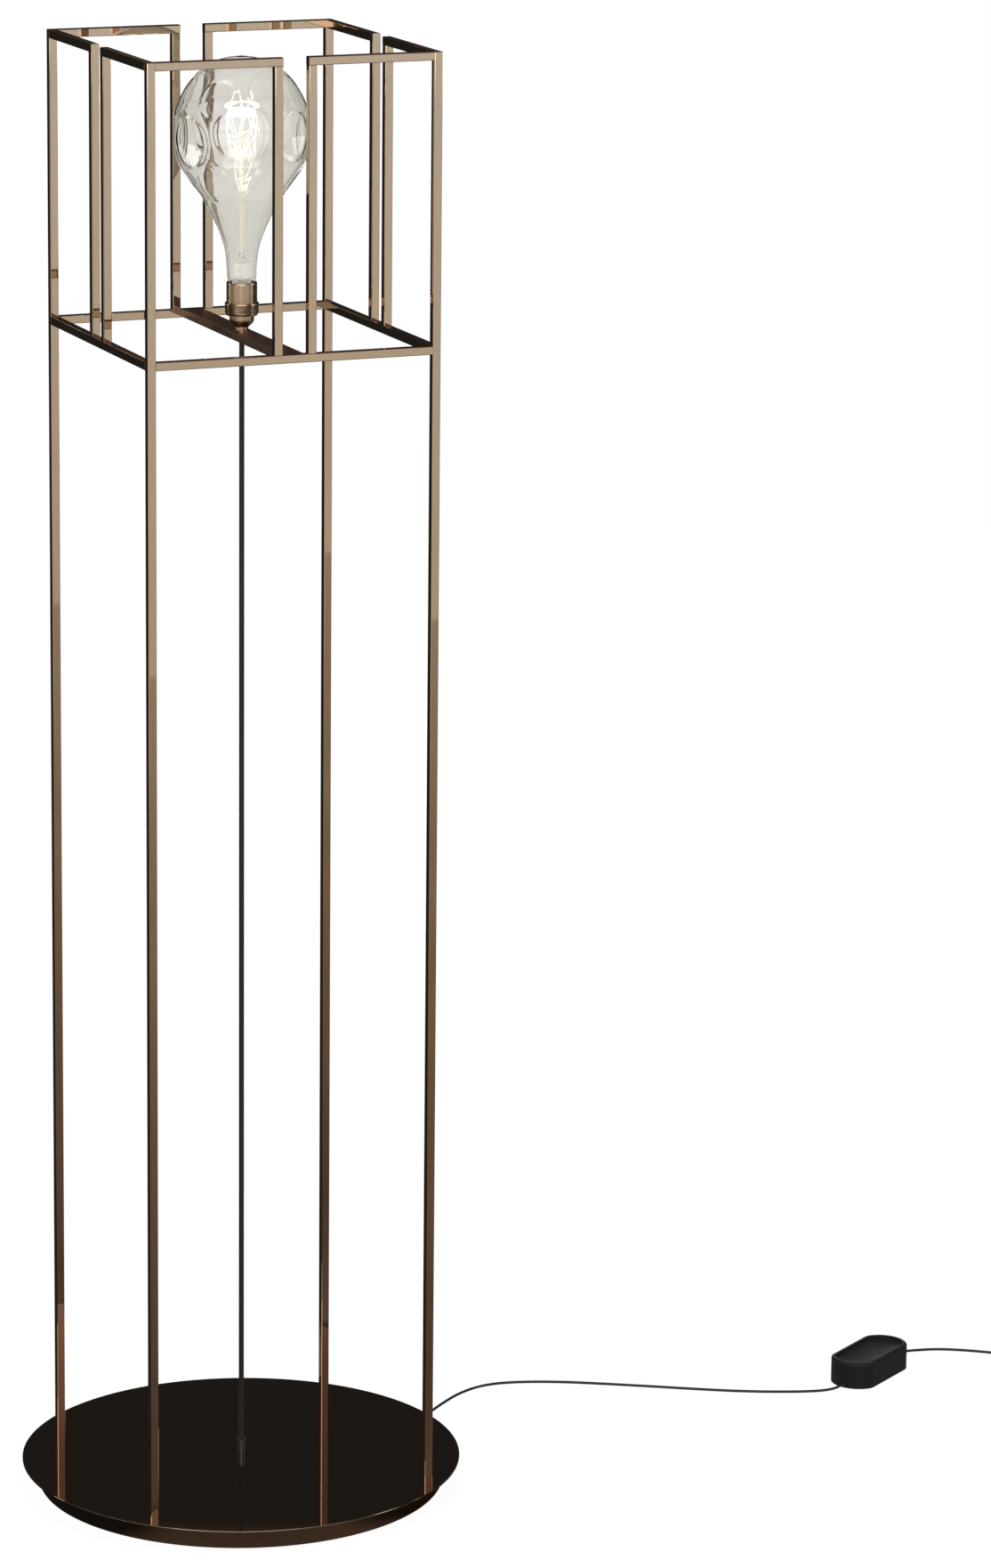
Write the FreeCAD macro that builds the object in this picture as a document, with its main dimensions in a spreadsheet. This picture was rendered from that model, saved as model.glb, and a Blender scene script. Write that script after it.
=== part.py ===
"""A wire cage floor lamp: four slim square posts on a round base carry an open cube of tube.

The cube holds a lampholder and a large pear-shaped bulb on a cross bar.
A round textile cord drops from the bar to the middle of the base, and a thin mains lead
runs over the floor from the base to a foot dimmer and on to its plug.

Frame: millimetres, +Z up, the origin on the floor under the middle of the base.
+X runs along the front of the cage from left to right, and the front faces -Y.
"""

import FreeCAD, Part
import Sketcher
import math
import os
import re

# ---------------------------------------------------------------------------
# Driving dimensions, in millimetres and degrees
# ---------------------------------------------------------------------------

SIZES = {
    # cage and posts
    "cage_side": 357.0,
    "cage_height": 350.0,
    "post_length": 1720.0,
    "tube": 10.0,
    "tube_wall": 1.2,
    "side_gap": 31.0,
    "bar_width": 25.0,
    # base
    "disc_radius": 265.0,
    "disc_thickness": 2.5,
    "drum_radius": 245.0,
    "drum_wall": 2.0,
    "drum_height": 26.0,
    "cover_thickness": 1.0,
    "cover_gap": 0.3,
    "pad_height": 1.5,
    "pad_radius": 10.0,
    "pad_inset": 43.0,
    "pad_count": 6.0,
    "ballast_inset": 53.0,
    "ballast_bore_radius": 50.0,
    "ballast_thickness": 8.0,
    "pillar_radius": 5.0,
    "pillar_inset": 28.0,
    "pillar_count": 4.0,
    "cover_screw_radius": 2.0,
    "cover_screw_length": 12.0,
    "cover_head_radius": 4.0,
    "cover_head_height": 1.0,
    # cord of the lamp and its grip
    "cord_radius": 3.2,
    "cord_clearance": 0.15,
    "grip_radius": 6.0,
    "grip_height": 17.0,
    "thread_radius": 5.0,
    "thread_clearance": 0.05,
    "nut_across_flats": 14.0,
    "nut_height": 4.0,
    "thread_proud": 1.0,
    "set_screw_radius": 1.5,
    "set_screw_rise": 4.0,
    "set_screw_angle": -76.0,
    # lampholder
    "collar_radius": 7.9,
    "collar_height": 5.0,
    "nipple_rise": 12.0,
    "cup_radius": 14.6,
    "cup_height": 13.5,
    "cup_shoulder": 6.5,
    "metal_skin": 1.0,
    "edge_rounding": 0.5,
    "shell_radius": 18.05,
    "shell_height": 39.0,
    "ring_radius": 20.1,
    "ring_height": 15.0,
    "ring_chamfer": 2.5,
    "groove_depth": 0.5,
    "groove_width": 0.9,
    "groove_pitch": 2.0,
    "groove_count": 5.0,
    "core_clearance": 0.35,
    "core_floor": 8.0,
    "core_height": 31.0,
    "screw_shell_wall": 0.75,
    "screw_shell_height": 20.5,
    "contact_radius": 4.0,
    "contact_height": 2.0,
    # bulb
    "bulb_radius": 79.8,
    "bulb_height": 270.6,
    "glass_wall": 1.2,
    "cap_radius": 13.2,
    "cap_height": 22.0,
    "cap_tip_radius": 4.5,
    "cap_cone_height": 5.0,
    "cap_skin": 0.5,
    "screw_clearance": 0.3,
    "seat_gap": 0.3,
    "stem_radius": 4.0,
    "stem_height": 46.0,
    "stem_flare_radius": 11.0,
    "stem_flare_height": 6.0,
    "filament_radius": 1.2,
    "filament_rod_radius": 1.6,
    "filament_loop_share": 0.238,
    "filament_height_share": 0.795,
    # mains lead
    "lead_radius": 1.7,
    "lead_clearance": 0.05,
    "lead_exit_height": 8.5,
    "lead_exit_angle": 20.0,
    "bush_neck_radius": 4.0,
    "bush_flange_radius": 5.5,
    "bush_flange": 1.5,
    "bush_tip_radius": 2.6,
    "bush_taper": 21.5,
    "bush_hold": 2.0,
    "block_length": 32.0,
    "block_width": 18.0,
    "block_height": 12.0,
    # put-away turns of the lead and the plug
    "coil_mean_radius": 18.7,
    "coil_layers": 3.0,
    "coil_columns": 3.0,
    "coil_x": 1078.8,
    "coil_y": 7.2,
    "coil_entry_angle": 40.0,
    "plug_width": 26.0,
    "plug_shoulder_width": 35.0,
    "plug_height": 13.7,
    "plug_length": 36.0,
    "plug_tail_length": 20.0,
    "plug_tail_radius": 4.2,
    "plug_tail_tip_radius": 2.6,
    "pin_radius": 2.0,
    "pin_length": 19.0,
    "pin_spacing": 18.0,
    # foot dimmer
    "dimmer_x": 873.4,
    "dimmer_y": 49.3,
    "dimmer_turn": 34.0,
    "dimmer_length": 127.0,
    "dimmer_width": 61.0,
    "dimmer_height": 34.0,
    "dimmer_end_radius": 33.6,
    "dimmer_wall": 2.5,
    "dimmer_skirt_gap": 0.8,
    "dimmer_base_thickness": 2.5,
    "dimmer_base_clearance": 0.2,
    "dimmer_rim": 6.0,
    "plate_clearance": 0.5,
    "plate_flange": 2.6,
    "plate_flange_height": 3.0,
    "plate_recess": 2.0,
    "plate_travel": 3.0,
    "boss_radius": 5.0,
    "boss_height": 4.0,
    "switch_length": 40.0,
    "switch_width": 24.0,
    "plunger_radius": 3.0,
    "plunger_gap": 0.4,
    "switch_height": 15.0,
    "spring_radius": 8.0,
    "spring_wire_radius": 0.5,
    "spring_turns": 4.0,
    "spring_chords": 12.0,
    "lead_in_height": 6.0,
    "lead_in_turn": -14.0,
    "lead_in_rise": 7.0,
    "lead_out_height": 8.0,
    "lead_out_turn": 0.0,
    "lead_out_rise": -4.0,
    "gland_radius": 3.4,
    "gland_tip_radius": 2.7,
    "gland_length": 4.0,
    "gland_hold": 1.0,
}

# ---------------------------------------------------------------------------
# Places worked out from the driving dimensions
# ---------------------------------------------------------------------------

PLACES = {
    "half": "(cage_side / 2)",
    "inside": "(cage_side / 2 - tube)",
    "rail_length": "(cage_side - 2 * tube)",
    "half_rail_length": "(cage_side / 2 - tube - side_gap / 2)",
    "drum_inside": "(drum_radius - drum_wall)",
    "drum_top": "(pad_height + drum_height)",
    "pad_ring_radius": "(drum_inside - pad_inset)",
    "ballast_radius": "(drum_inside - ballast_inset)",
    "pillar_ring_radius": "(drum_inside - pillar_inset)",
    "disc_top": "(pad_height + drum_height + disc_thickness)",
    "lamp_top": "(pad_height + drum_height + disc_thickness + post_length)",
    "ring_bottom": "(pad_height + drum_height + disc_thickness + post_length - cage_height)",
    "bar_top": "(ring_bottom + tube)",
    "upright_length": "(cage_height - 2 * tube)",
    "cover_top": "(pad_height + cover_thickness)",
    "block_top": "(cover_top + block_height)",
    "grip_top": "(disc_top + grip_height)",
    "cord_bore": "(cord_radius + cord_clearance)",
    "thread_bore": "(thread_radius + thread_clearance)",
    "grip_foot": "(drum_top - nut_height - thread_proud)",
    "nipple_foot": "(bar_top - tube_wall - nut_height - thread_proud)",
    "cup_foot": "(bar_top + collar_height)",
    "cup_top": "(cup_foot + cup_height)",
    "ring_top": "(cup_top + ring_height)",
    "shell_top": "(cup_top + shell_height)",
    "shell_bore": "(shell_radius - metal_skin)",
    "core_foot": "(cup_top + metal_skin)",
    "core_radius": "(shell_radius - metal_skin - core_clearance)",
    "well_floor": "(core_foot + core_floor)",
    "screw_bore": "(cap_radius + screw_clearance)",
    "screw_shell_radius": "(screw_bore + screw_shell_wall)",
    "cap_foot": "(well_floor + contact_height + seat_gap)",
    "cap_top": "(cap_foot + cap_height)",
    "glass_foot": "(cap_top + seat_gap / 3)",
    "filament_loop_radius": "(filament_loop_share * bulb_radius)",
    "filament_rod_length": "(filament_height_share * bulb_height)",
    "bush_seat": "sqrt(drum_inside ^ 2 - bush_flange_radius ^ 2)",
    "bush_start": "(bush_seat - bush_flange)",
    "bush_tip": "(drum_radius + bush_flange + bush_taper)",
    "coil_inner": "(coil_mean_radius - coil_columns * lead_radius)",
    "coil_outer": "(coil_mean_radius + coil_columns * lead_radius)",
    "coil_height": "(2 * lead_radius * coil_layers)",
    "dimmer_roof": "(dimmer_height - dimmer_wall)",
    "plate_flange_top": "(dimmer_roof - seat_gap)",
    "plate_flange_foot": "(plate_flange_top - plate_flange_height)",
    "plate_top": "(dimmer_height - plate_recess)",
    "boss_foot": "(plate_flange_foot - boss_height)",
    "switch_top": "(dimmer_base_thickness + switch_height)",
    "plunger_top": "(boss_foot - plate_travel - plunger_gap)",
}

doc = FreeCAD.newDocument("wire_cage_floor_lamp")
sheet = doc.addObject("Spreadsheet::Sheet", "sizes")


def fill_sheet():
    """Writes each driving dimension into the sheet, with its name as the cell's alias."""
    for row, (name, number) in enumerate(SIZES.items(), start=1):
        sheet.set("A%d" % row, name)
        sheet.set("B%d" % row, str(number))
        sheet.setAlias("B%d" % row, name)
    doc.recompute()


def formula(text):
    """Spells a formula out in cells of the sheet: places first, then sizes."""
    def spell(match):
        word = match.group(0)
        if word in PLACES:
            return formula(PLACES[word])
        return "sizes." + word if word in SIZES else word

    return re.sub(r"[a-z_]+", spell, text)


def number(text):
    """The value of a formula, as a plain number."""
    return float(sheet.evalExpression(formula(text)))


fill_sheet()

NODES = []  # every finished sub-part, in the order in which it is made


def finish(piece, label):
    """Names a finished sub-part and puts it on the list of what is written."""
    piece.Label = label
    NODES.append(piece)
    return piece


def bind(piece, **formulas):
    """Ties properties of a piece to formulas; two underscores stand for a dot."""
    for name, text in formulas.items():
        piece.setExpression(name.replace("__", "."), formula(text))
    return piece


def place(piece, x="0", y="0", z="0", turn=None):
    """Ties the place of a piece, and its turn about the upright axis where it has one."""
    bind(piece, Placement__Base__x=x, Placement__Base__y=y, Placement__Base__z=z)
    if turn is not None:
        bind(piece, Placement__Rotation__Angle=turn)
    return piece


def box(name, length, width, height, x="0", y="0", z="0"):
    """A block with its lowest corner at x, y, z."""
    piece = doc.addObject("Part::Box", name)
    bind(piece, Length=length, Width=width, Height=height)
    return place(piece, x, y, z)


def rod(name, radius, height, x="0", y="0", z="0"):
    """An upright cylinder that stands on x, y, z."""
    piece = doc.addObject("Part::Cylinder", name)
    bind(piece, Radius=radius, Height=height)
    return place(piece, x, y, z)


def cone(name, foot_radius, top_radius, height, z="0"):
    """An upright cone on the axis of the lamp."""
    piece = doc.addObject("Part::Cone", name)
    bind(piece, Radius1=foot_radius, Radius2=top_radius, Height=height)
    return place(piece, z=z)


def cut(name, base, tool):
    """One piece with another taken away."""
    piece = doc.addObject("Part::Cut", name)
    piece.Base = base
    piece.Tool = tool
    return piece


def fuse(name, pieces):
    """Several pieces as one solid."""
    piece = doc.addObject("Part::MultiFuse", name)
    piece.Shapes = pieces
    piece.Refine = True
    return piece


def common(name, pieces):
    """What several pieces share."""
    piece = doc.addObject("Part::MultiCommon", name)
    piece.Shapes = pieces
    return piece


def group(name, pieces):
    """Several separate solids under one name."""
    piece = doc.addObject("Part::Compound", name)
    piece.Links = pieces
    return piece


def origin_plane(body, role):
    """The plane of a body's own origin that has this role."""
    return [plane for plane in body.Origin.OriginFeatures if plane.Role == role][0]


def turned(name, outline):
    """A body of revolution about the lamp's axis, from a closed outline of (radius, height)."""
    body = doc.addObject("PartDesign::Body", name)
    sketch = body.newObject("Sketcher::SketchObject", name + "_outline")
    sketch.AttachmentSupport = [(origin_plane(body, "XZ_Plane"), "")]
    sketch.MapMode = "FlatFace"
    corners = [FreeCAD.Vector(number(radius), number(height), 0) for radius, height in outline]
    count = len(corners)
    for index in range(count):
        line = Part.LineSegment(corners[index], corners[(index + 1) % count])
        sketch.addGeometry(line, False)
    for index in range(count):
        sketch.addConstraint(Sketcher.Constraint("Coincident", index, 2, (index + 1) % count, 1))
    for index, (radius, height) in enumerate(outline):
        tie_corner(sketch, index, "DistanceX", radius)
        tie_corner(sketch, index, "DistanceY", height)
    spin = body.newObject("PartDesign::Revolution", name + "_spin")
    spin.Profile = sketch
    spin.ReferenceAxis = (sketch, ["V_Axis"])
    spin.Angle = 360.0
    return body


def tie_corner(sketch, index, kind, text):
    """Ties one coordinate of a sketch's corner to a formula, or the corner to the axis."""
    value = number(text)
    if kind == "DistanceX" and abs(value) < 1e-9:
        sketch.addConstraint(Sketcher.Constraint("PointOnObject", index, 1, -2))
        return
    tie = sketch.addConstraint(Sketcher.Constraint(kind, -1, 1, index, 1, value))
    sketch.setExpression("Constraints[%d]" % tie, formula(text))


def round_edges(body, across, height, size):
    """Rounds the circular edges of a turned body that lie at this radius and height."""
    doc.recompute()
    radius = number(across)
    level = number(height)
    names = []
    for index, edge in enumerate(body.Shape.Edges, start=1):
        circle = edge.Curve if isinstance(edge.Curve, Part.Circle) else None
        if circle and abs(circle.Radius - radius) < 1e-4 and abs(circle.Center.z - level) < 1e-4:
            names.append("Edge%d" % index)
    solid = body.Tip
    fillet = body.newObject("PartDesign::Fillet", solid.Name + "_rounding")
    fillet.Base = (solid, names)
    bind(fillet, Radius=size)
    body.Tip = fillet
    return body


# ---------------------------------------------------------------------------
# Frame: posts, cage and cross bar
# ---------------------------------------------------------------------------

AXES = ("x", "y", "z")


def tube_piece(label, along, length, corner, foot_lid="0", end_lid="0", width="tube"):
    """A tube along one axis, bored from its foot lid to its end lid.

    corner is its lowest corner, and width is its size across, in x, where it isn't square.
    """
    outer = dict(zip(AXES, (width, "tube", "tube")))
    outer[along] = length
    inner = {axis: "(%s - 2 * tube_wall)" % outer[axis] for axis in AXES}
    inner[along] = "(%s - %s - %s)" % (length, foot_lid, end_lid)
    start = dict(zip(AXES, corner))
    bore = {axis: "(%s + tube_wall)" % start[axis] for axis in AXES}
    bore[along] = "(%s + %s)" % (start[along], foot_lid)
    skin = box(label + "_skin", outer["x"], outer["y"], outer["z"], *corner)
    hollow = box(label + "_bore", inner["x"], inner["y"], inner["z"], *[bore[a] for a in AXES])
    return cut(label + "_tube", skin, hollow)


# The near side of each corner or side: name, and which way it lies from the middle.
SIDES_X = (("left", -1), ("right", 1))
SIDES_Y = (("front", -1), ("back", 1))


def outer_band(way):
    """Lowest coordinate of a tube that lies along the outside of the cage, on this side."""
    return "(-half)" if way < 0 else "inside"


def gap_band(way):
    """Lowest coordinate of a tube that stands beside the gap in a side, on this side."""
    return "(-side_gap / 2 - tube)" if way < 0 else "(side_gap / 2)"


def make_posts():
    """Four posts from the base disc to the top of the cage, closed at both ends."""
    for side_y, way_y in SIDES_Y:
        for side_x, way_x in SIDES_X:
            label = "post_%s_%s" % (side_y, side_x)
            corner = (outer_band(way_x), outer_band(way_y), "disc_top")
            post = tube_piece(label, "z", "post_length", corner, "tube_wall", "tube_wall")
            finish(post, label)


def make_ring():
    """The closed square at the foot of the cage: one rail between each two posts."""
    for side_y, way_y in SIDES_Y:
        corner = ("(-inside)", outer_band(way_y), "ring_bottom")
        label = "ring_rail_" + side_y
        finish(tube_piece(label, "x", "rail_length", corner), label)
    for side_x, way_x in SIDES_X:
        corner = (outer_band(way_x), "(-inside)", "ring_bottom")
        label = "ring_rail_" + side_x
        finish(tube_piece(label, "y", "rail_length", corner), label)


def half_rail(label, along, way, across):
    """A rail at the top of the cage, from a post to the gap, closed at the gap."""
    start = "(-inside)" if way < 0 else "(side_gap / 2)"
    corner = (start, across) if along == "x" else (across, start)
    lids = ("0", "tube_wall") if way < 0 else ("tube_wall", "0")
    corner = corner + ("(lamp_top - tube)",)
    finish(tube_piece(label, along, "half_rail_length", corner, *lids), label)


def upright(label, x, y):
    """A short tube from the ring up to the end of a half rail."""
    finish(tube_piece(label, "z", "upright_length", (x, y, "bar_top")), label)


def make_cage_sides():
    """Two half rails and two uprights in each of the four sides, with a gap between them."""
    for side_y, way_y in SIDES_Y:
        for side_x, way_x in SIDES_X:
            band = outer_band(way_y)
            half_rail("top_rail_%s_%s" % (side_y, side_x), "x", way_x, band)
            upright("upright_%s_%s" % (side_y, side_x), gap_band(way_x), band)
    for side_x, way_x in SIDES_X:
        for side_y, way_y in SIDES_Y:
            band = outer_band(way_x)
            half_rail("top_rail_%s_%s" % (side_x, side_y), "y", way_y, band)
            upright("upright_%s_%s" % (side_x, side_y), band, gap_band(way_y))


def make_cross_bar():
    """The flat tube across the ring from front to back, drilled for the nipple and the cord."""
    corner = ("(-bar_width / 2)", "(-inside)", "ring_bottom")
    bar = tube_piece("cross_bar", "y", "rail_length", corner, width="bar_width")
    nipple_hole = rod("cross_bar_nipple_hole", "thread_bore", "tube", z="(bar_top - tube / 2)")
    cord_hole = rod("cross_bar_cord_hole", "cord_bore", "tube", z="(ring_bottom - tube / 2)")
    holes = fuse("cross_bar_holes", [nipple_hole, cord_hole])
    finish(cut("cross_bar_drilled", bar, holes), "cross_bar")


# ---------------------------------------------------------------------------
# Base
# ---------------------------------------------------------------------------

def ring_of(name, count, ring_radius, make_one):
    """Equal pieces round the lamp's axis, as separate solids; make_one takes a name, x and y."""
    total = int(number(count))
    pieces = []
    for index in range(total):
        angle = "(%d * 360 / %d + 45)" % (index, total)
        x = "(%s * cos(%s))" % (ring_radius, angle)
        y = "(%s * sin(%s))" % (ring_radius, angle)
        pieces.append(make_one("%s_%d" % (name, index + 1), x, y))
    return pieces


def ring_plate(name, radius, bore, height, z):
    """A flat ring about the lamp's axis."""
    return cut(name, rod(name + "_plate", radius, height, z=z),
               rod(name + "_hole", bore, height, z=z))


def make_base_disc():
    """The thin top disc, with a hole for the thread of the cord grip."""
    outline = [("thread_bore", "drum_top"), ("disc_radius", "drum_top"),
               ("disc_radius", "disc_top"), ("thread_bore", "disc_top")]
    finish(turned("disc", outline), "base_disc")


def make_drum():
    """The skirt under the disc, with a hole for the bush of the mains lead."""
    wall = ring_plate("drum_ring", "drum_radius", "drum_inside", "drum_height",
                      "pad_height")
    hole = rod("drum_hole", "(bush_neck_radius + lead_clearance)", "(6 * drum_wall)")
    hole.Placement.Rotation = lead_rotation()
    bind(hole, Placement__Base__x="((drum_radius - 3 * drum_wall) * cos(lead_exit_angle))",
         Placement__Base__y="((drum_radius - 3 * drum_wall) * sin(lead_exit_angle))",
         Placement__Base__z="lead_exit_height")
    finish(cut("drum", wall, hole), "base_drum")


def make_ballast():
    """The iron ring under the disc that keeps the lamp upright."""
    ring = ring_plate("ballast_ring", "ballast_radius", "ballast_bore_radius",
                      "ballast_thickness", "(drum_top - ballast_thickness)")
    finish(ring, "base_ballast")


def make_cover():
    """The sheet that closes the drum from below, with its pillars, screws and rubber pads."""
    sheet_metal = rod("cover_plate", "(drum_inside - cover_gap)",
                      "cover_thickness", z="pad_height")
    holes = ring_of("cover_hole", "pillar_count", "pillar_ring_radius", lambda name, x, y: rod(
        name, "(cover_screw_radius + thread_clearance)", "cover_thickness", x, y, "pad_height"))
    finish(cut("cover", sheet_metal, fuse("cover_holes", holes)), "bottom_cover")
    finish(group("pillars", ring_of("pillar", "pillar_count", "pillar_ring_radius", pillar)),
           "cover_pillars")
    finish(group("screws", ring_of("screw", "pillar_count", "pillar_ring_radius", cover_screw)),
           "cover_screws")
    pads = ring_of("pad", "pad_count", "pad_ring_radius", lambda name, x, y: rod(
        name, "pad_radius", "pad_height", x, y))
    finish(group("pads", pads), "foot_pads")


def pillar(name, x, y):
    """A tapped pillar between the cover and the disc."""
    post = rod(name + "_rod", "pillar_radius", "(drum_top - cover_top)", x, y, "cover_top")
    depth = "(cover_screw_length - cover_thickness + thread_proud)"
    bore = rod(name + "_bore", "(cover_screw_radius + thread_clearance)", depth, x, y, "cover_top")
    return cut(name, post, bore)


def cover_screw(name, x, y):
    """A pan-head screw that holds the cover to its pillar."""
    shank = rod(name + "_shank", "cover_screw_radius", "cover_screw_length", x, y, "pad_height")
    head = rod(name + "_head", "cover_head_radius", "cover_head_height", x, y,
               "(pad_height - cover_head_height)")
    return fuse(name, [shank, head])


# ---------------------------------------------------------------------------
# Cord of the lamp, its grip and the nuts
# ---------------------------------------------------------------------------

def make_lamp_cord():
    """The taut textile cord from inside the lampholder to the block in the base."""
    finish(rod("cord", "cord_radius", "(core_foot - block_top)", z="block_top"), "lamp_cord")


def make_grip():
    """The grip at the middle of the disc, its thread through the disc and its set screw."""
    outline = [("cord_bore", "grip_foot"), ("thread_radius", "grip_foot"),
               ("thread_radius", "disc_top"), ("grip_radius", "disc_top"),
               ("grip_radius", "grip_top"), ("cord_bore", "grip_top")]
    body = round_edges(turned("grip_body", outline), "grip_radius", "grip_top", "edge_rounding")
    reach = "(grip_radius - cord_bore)"
    hole = radial_rod("grip_hole", "(set_screw_radius + thread_clearance)", reach, "cord_bore")
    finish(cut("grip", body, hole), "cord_grip")
    screw = radial_rod("grip_screw", "set_screw_radius", "(%s - seat_gap)" % reach, "cord_bore")
    finish(screw, "grip_set_screw")


def radial_rod(name, radius, length, start):
    """A level rod that points out from the cord, where the set screw is."""
    piece = rod(name, radius, length)
    level = FreeCAD.Rotation(FreeCAD.Vector(0, 1, 0), 90)
    swing = FreeCAD.Rotation(FreeCAD.Vector(0, 0, 1), number("set_screw_angle"))
    piece.Placement.Rotation = swing.multiply(level)
    bind(piece, Placement__Base__x="(%s * cos(set_screw_angle))" % start,
         Placement__Base__y="(%s * sin(set_screw_angle))" % start,
         Placement__Base__z="(disc_top + set_screw_rise)")
    return piece


def hex_nut(name, z):
    """A flat hexagon nut on the lamp's axis."""
    prism = doc.addObject("Part::Prism", name + "_prism")
    prism.Polygon = 6
    bind(prism, Circumradius="(nut_across_flats / 2 / cos(30))", Height="nut_height")
    place(prism, z=z)
    return cut(name, prism, rod(name + "_bore", "thread_bore", "nut_height", z=z))


def make_nuts():
    """The two nuts: under the disc on the grip's thread, and in the bar on the nipple."""
    lower = hex_nut("grip_nut", "(drum_top - nut_height)")
    upper = hex_nut("nipple_nut", "(bar_top - tube_wall - nut_height)")
    finish(group("nuts", [lower, upper]), "lock_nuts")


# ---------------------------------------------------------------------------
# Lampholder
# ---------------------------------------------------------------------------

def make_nipple():
    """The threaded nipple through the top of the bar, with its collar."""
    outline = [("cord_bore", "nipple_foot"), ("thread_radius", "nipple_foot"),
               ("thread_radius", "bar_top"), ("collar_radius", "bar_top"),
               ("collar_radius", "cup_foot"), ("thread_radius", "cup_foot"),
               ("thread_radius", "(bar_top + nipple_rise)"),
               ("cord_bore", "(bar_top + nipple_rise)")]
    nipple = round_edges(turned("nipple", outline), "collar_radius", "cup_foot", "edge_rounding")
    finish(nipple, "holder_nipple")


def make_cup():
    """The cup at the foot of the lampholder, a skin of one thickness with a round shoulder."""
    inside = "(cup_radius - metal_skin)"
    floor = "(cup_foot + metal_skin)"
    outline = [("thread_bore", "cup_foot"), ("cup_radius", "cup_foot"), ("cup_radius", "cup_top"),
               (inside, "cup_top"), (inside, floor), ("thread_bore", floor)]
    cup = round_edges(turned("cup", outline), "cup_radius", "cup_foot", "cup_shoulder")
    finish(round_edges(cup, inside, floor, "(cup_shoulder - metal_skin)"), "holder_cup")


def make_shell():
    """The upper shell of the lampholder, with the foot that sits on the cup."""
    outline = [("(cup_radius - metal_skin)", "cup_top"), ("shell_radius", "cup_top"),
               ("shell_radius", "shell_top"), ("shell_bore", "shell_top"),
               ("shell_bore", "core_foot"), ("(cup_radius - metal_skin)", "core_foot")]
    shell = round_edges(turned("shell", outline), "shell_radius", "shell_top", "edge_rounding")
    finish(shell, "holder_shell")


def make_shade_ring():
    """The ribbed ring on the lower half of the shell."""
    bore = "(shell_radius + thread_clearance)"
    outline = [(bore, "cup_top"), ("(ring_radius - ring_chamfer / 2)", "cup_top"),
               ("ring_radius", "(cup_top + ring_chamfer)")]
    for index in range(int(number("groove_count"))):
        level = "cup_top + ring_chamfer + groove_width + %d * groove_pitch" % index
        outline.append(("ring_radius", "(%s)" % level))
        outline.append(("(ring_radius - groove_depth)", "(%s + groove_width / 2)" % level))
        outline.append(("ring_radius", "(%s + groove_width)" % level))
    outline.append(("ring_radius", "ring_top"))
    outline.append((bore, "ring_top"))
    ring = round_edges(turned("shade_ring", outline), "ring_radius", "ring_top", "edge_rounding")
    finish(ring, "holder_shade_ring")


def make_core():
    """The ceramic core with its well, the screw shell in it and the middle contact."""
    outline = [("0", "core_foot"), ("core_radius", "core_foot"),
               ("core_radius", "(core_foot + core_height)"),
               ("(screw_shell_radius + thread_clearance)", "(core_foot + core_height)"),
               ("(screw_shell_radius + thread_clearance)", "well_floor"), ("0", "well_floor")]
    finish(turned("core", outline), "holder_core")
    skin = ring_plate("screw_shell", "screw_shell_radius", "screw_bore", "screw_shell_height",
                      "well_floor")
    finish(skin, "holder_screw_shell")
    tongue = cone("contact", "contact_radius", "(contact_radius - metal_skin)", "contact_height",
                  "well_floor")
    finish(tongue, "holder_contact")


# ---------------------------------------------------------------------------
# Bulb
# ---------------------------------------------------------------------------

def make_bulb_cap():
    """The screw cap of the bulb: tip, cone and threaded part, as one closed piece."""
    shoulder = "(cap_foot + cap_cone_height)"
    outline = [("0", "cap_foot"), ("cap_tip_radius", "cap_foot"),
               ("cap_tip_radius", "(cap_foot + metal_skin)"),
               ("(cap_radius - metal_skin)", shoulder), ("cap_radius", "(%s + metal_skin)" % shoulder),
               ("cap_radius", "cap_top"), ("(cap_radius - cap_skin)", "cap_top"),
               ("(cap_radius - cap_skin)", "(%s + metal_skin)" % shoulder),
               ("0", "(%s + metal_skin)" % shoulder)]
    finish(turned("cap", outline), "bulb_cap")


# The outside of the glass: share of its height above its foot, and share of its radius.
GLASS_OUTLINE = ((0.038, 0.216), (0.078, 0.224), (0.156, 0.251), (0.285, 0.404), (0.377, 0.570),
                 (0.440, 0.742), (0.525, 0.916), (0.655, 1.000), (0.747, 0.985), (0.839, 0.868),
                 (0.932, 0.618), (0.978, 0.355))


def glass_profile(inset):
    """The outline of the blown glass, from its foot in the cap up to the top, moved in by inset."""
    foot = number("glass_foot")
    height = number("bulb_height")
    radius = number("bulb_radius")
    points = [FreeCAD.Vector(number("cap_radius") - inset, 0, foot)]
    for rise, share in GLASS_OUTLINE:
        points.append(FreeCAD.Vector(share * radius - inset, 0, foot + rise * height))
    points.append(FreeCAD.Vector(0, 0, foot + height - inset))
    return points


def glass_curve(points):
    """A smooth curve through the outline."""
    curve = Part.BSplineCurve()
    curve.interpolate(points)
    return curve.toShape()


def make_glass():
    """The pear of blown glass: the outside and the inside outline turned about the axis."""
    outer = glass_profile(0.0)
    inner = glass_profile(number("glass_wall"))
    skin = [glass_curve(outer), Part.LineSegment(outer[-1], inner[-1]).toShape(),
            glass_curve(inner), Part.LineSegment(inner[0], outer[0]).toShape()]
    wire = Part.Wire(Part.__sortEdges__(skin))
    solid = Part.Face(wire).revolve(FreeCAD.Vector(), FreeCAD.Vector(0, 0, 1), 360)
    add_shape("glass", solid, "bulb_glass")


def add_shape(name, shape, label):
    """A sub-part whose shape is worked out directly."""
    piece = doc.addObject("Part::Feature", name)
    piece.Shape = shape
    piece.Placement = FreeCAD.Placement()
    return finish(piece, label)


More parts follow.
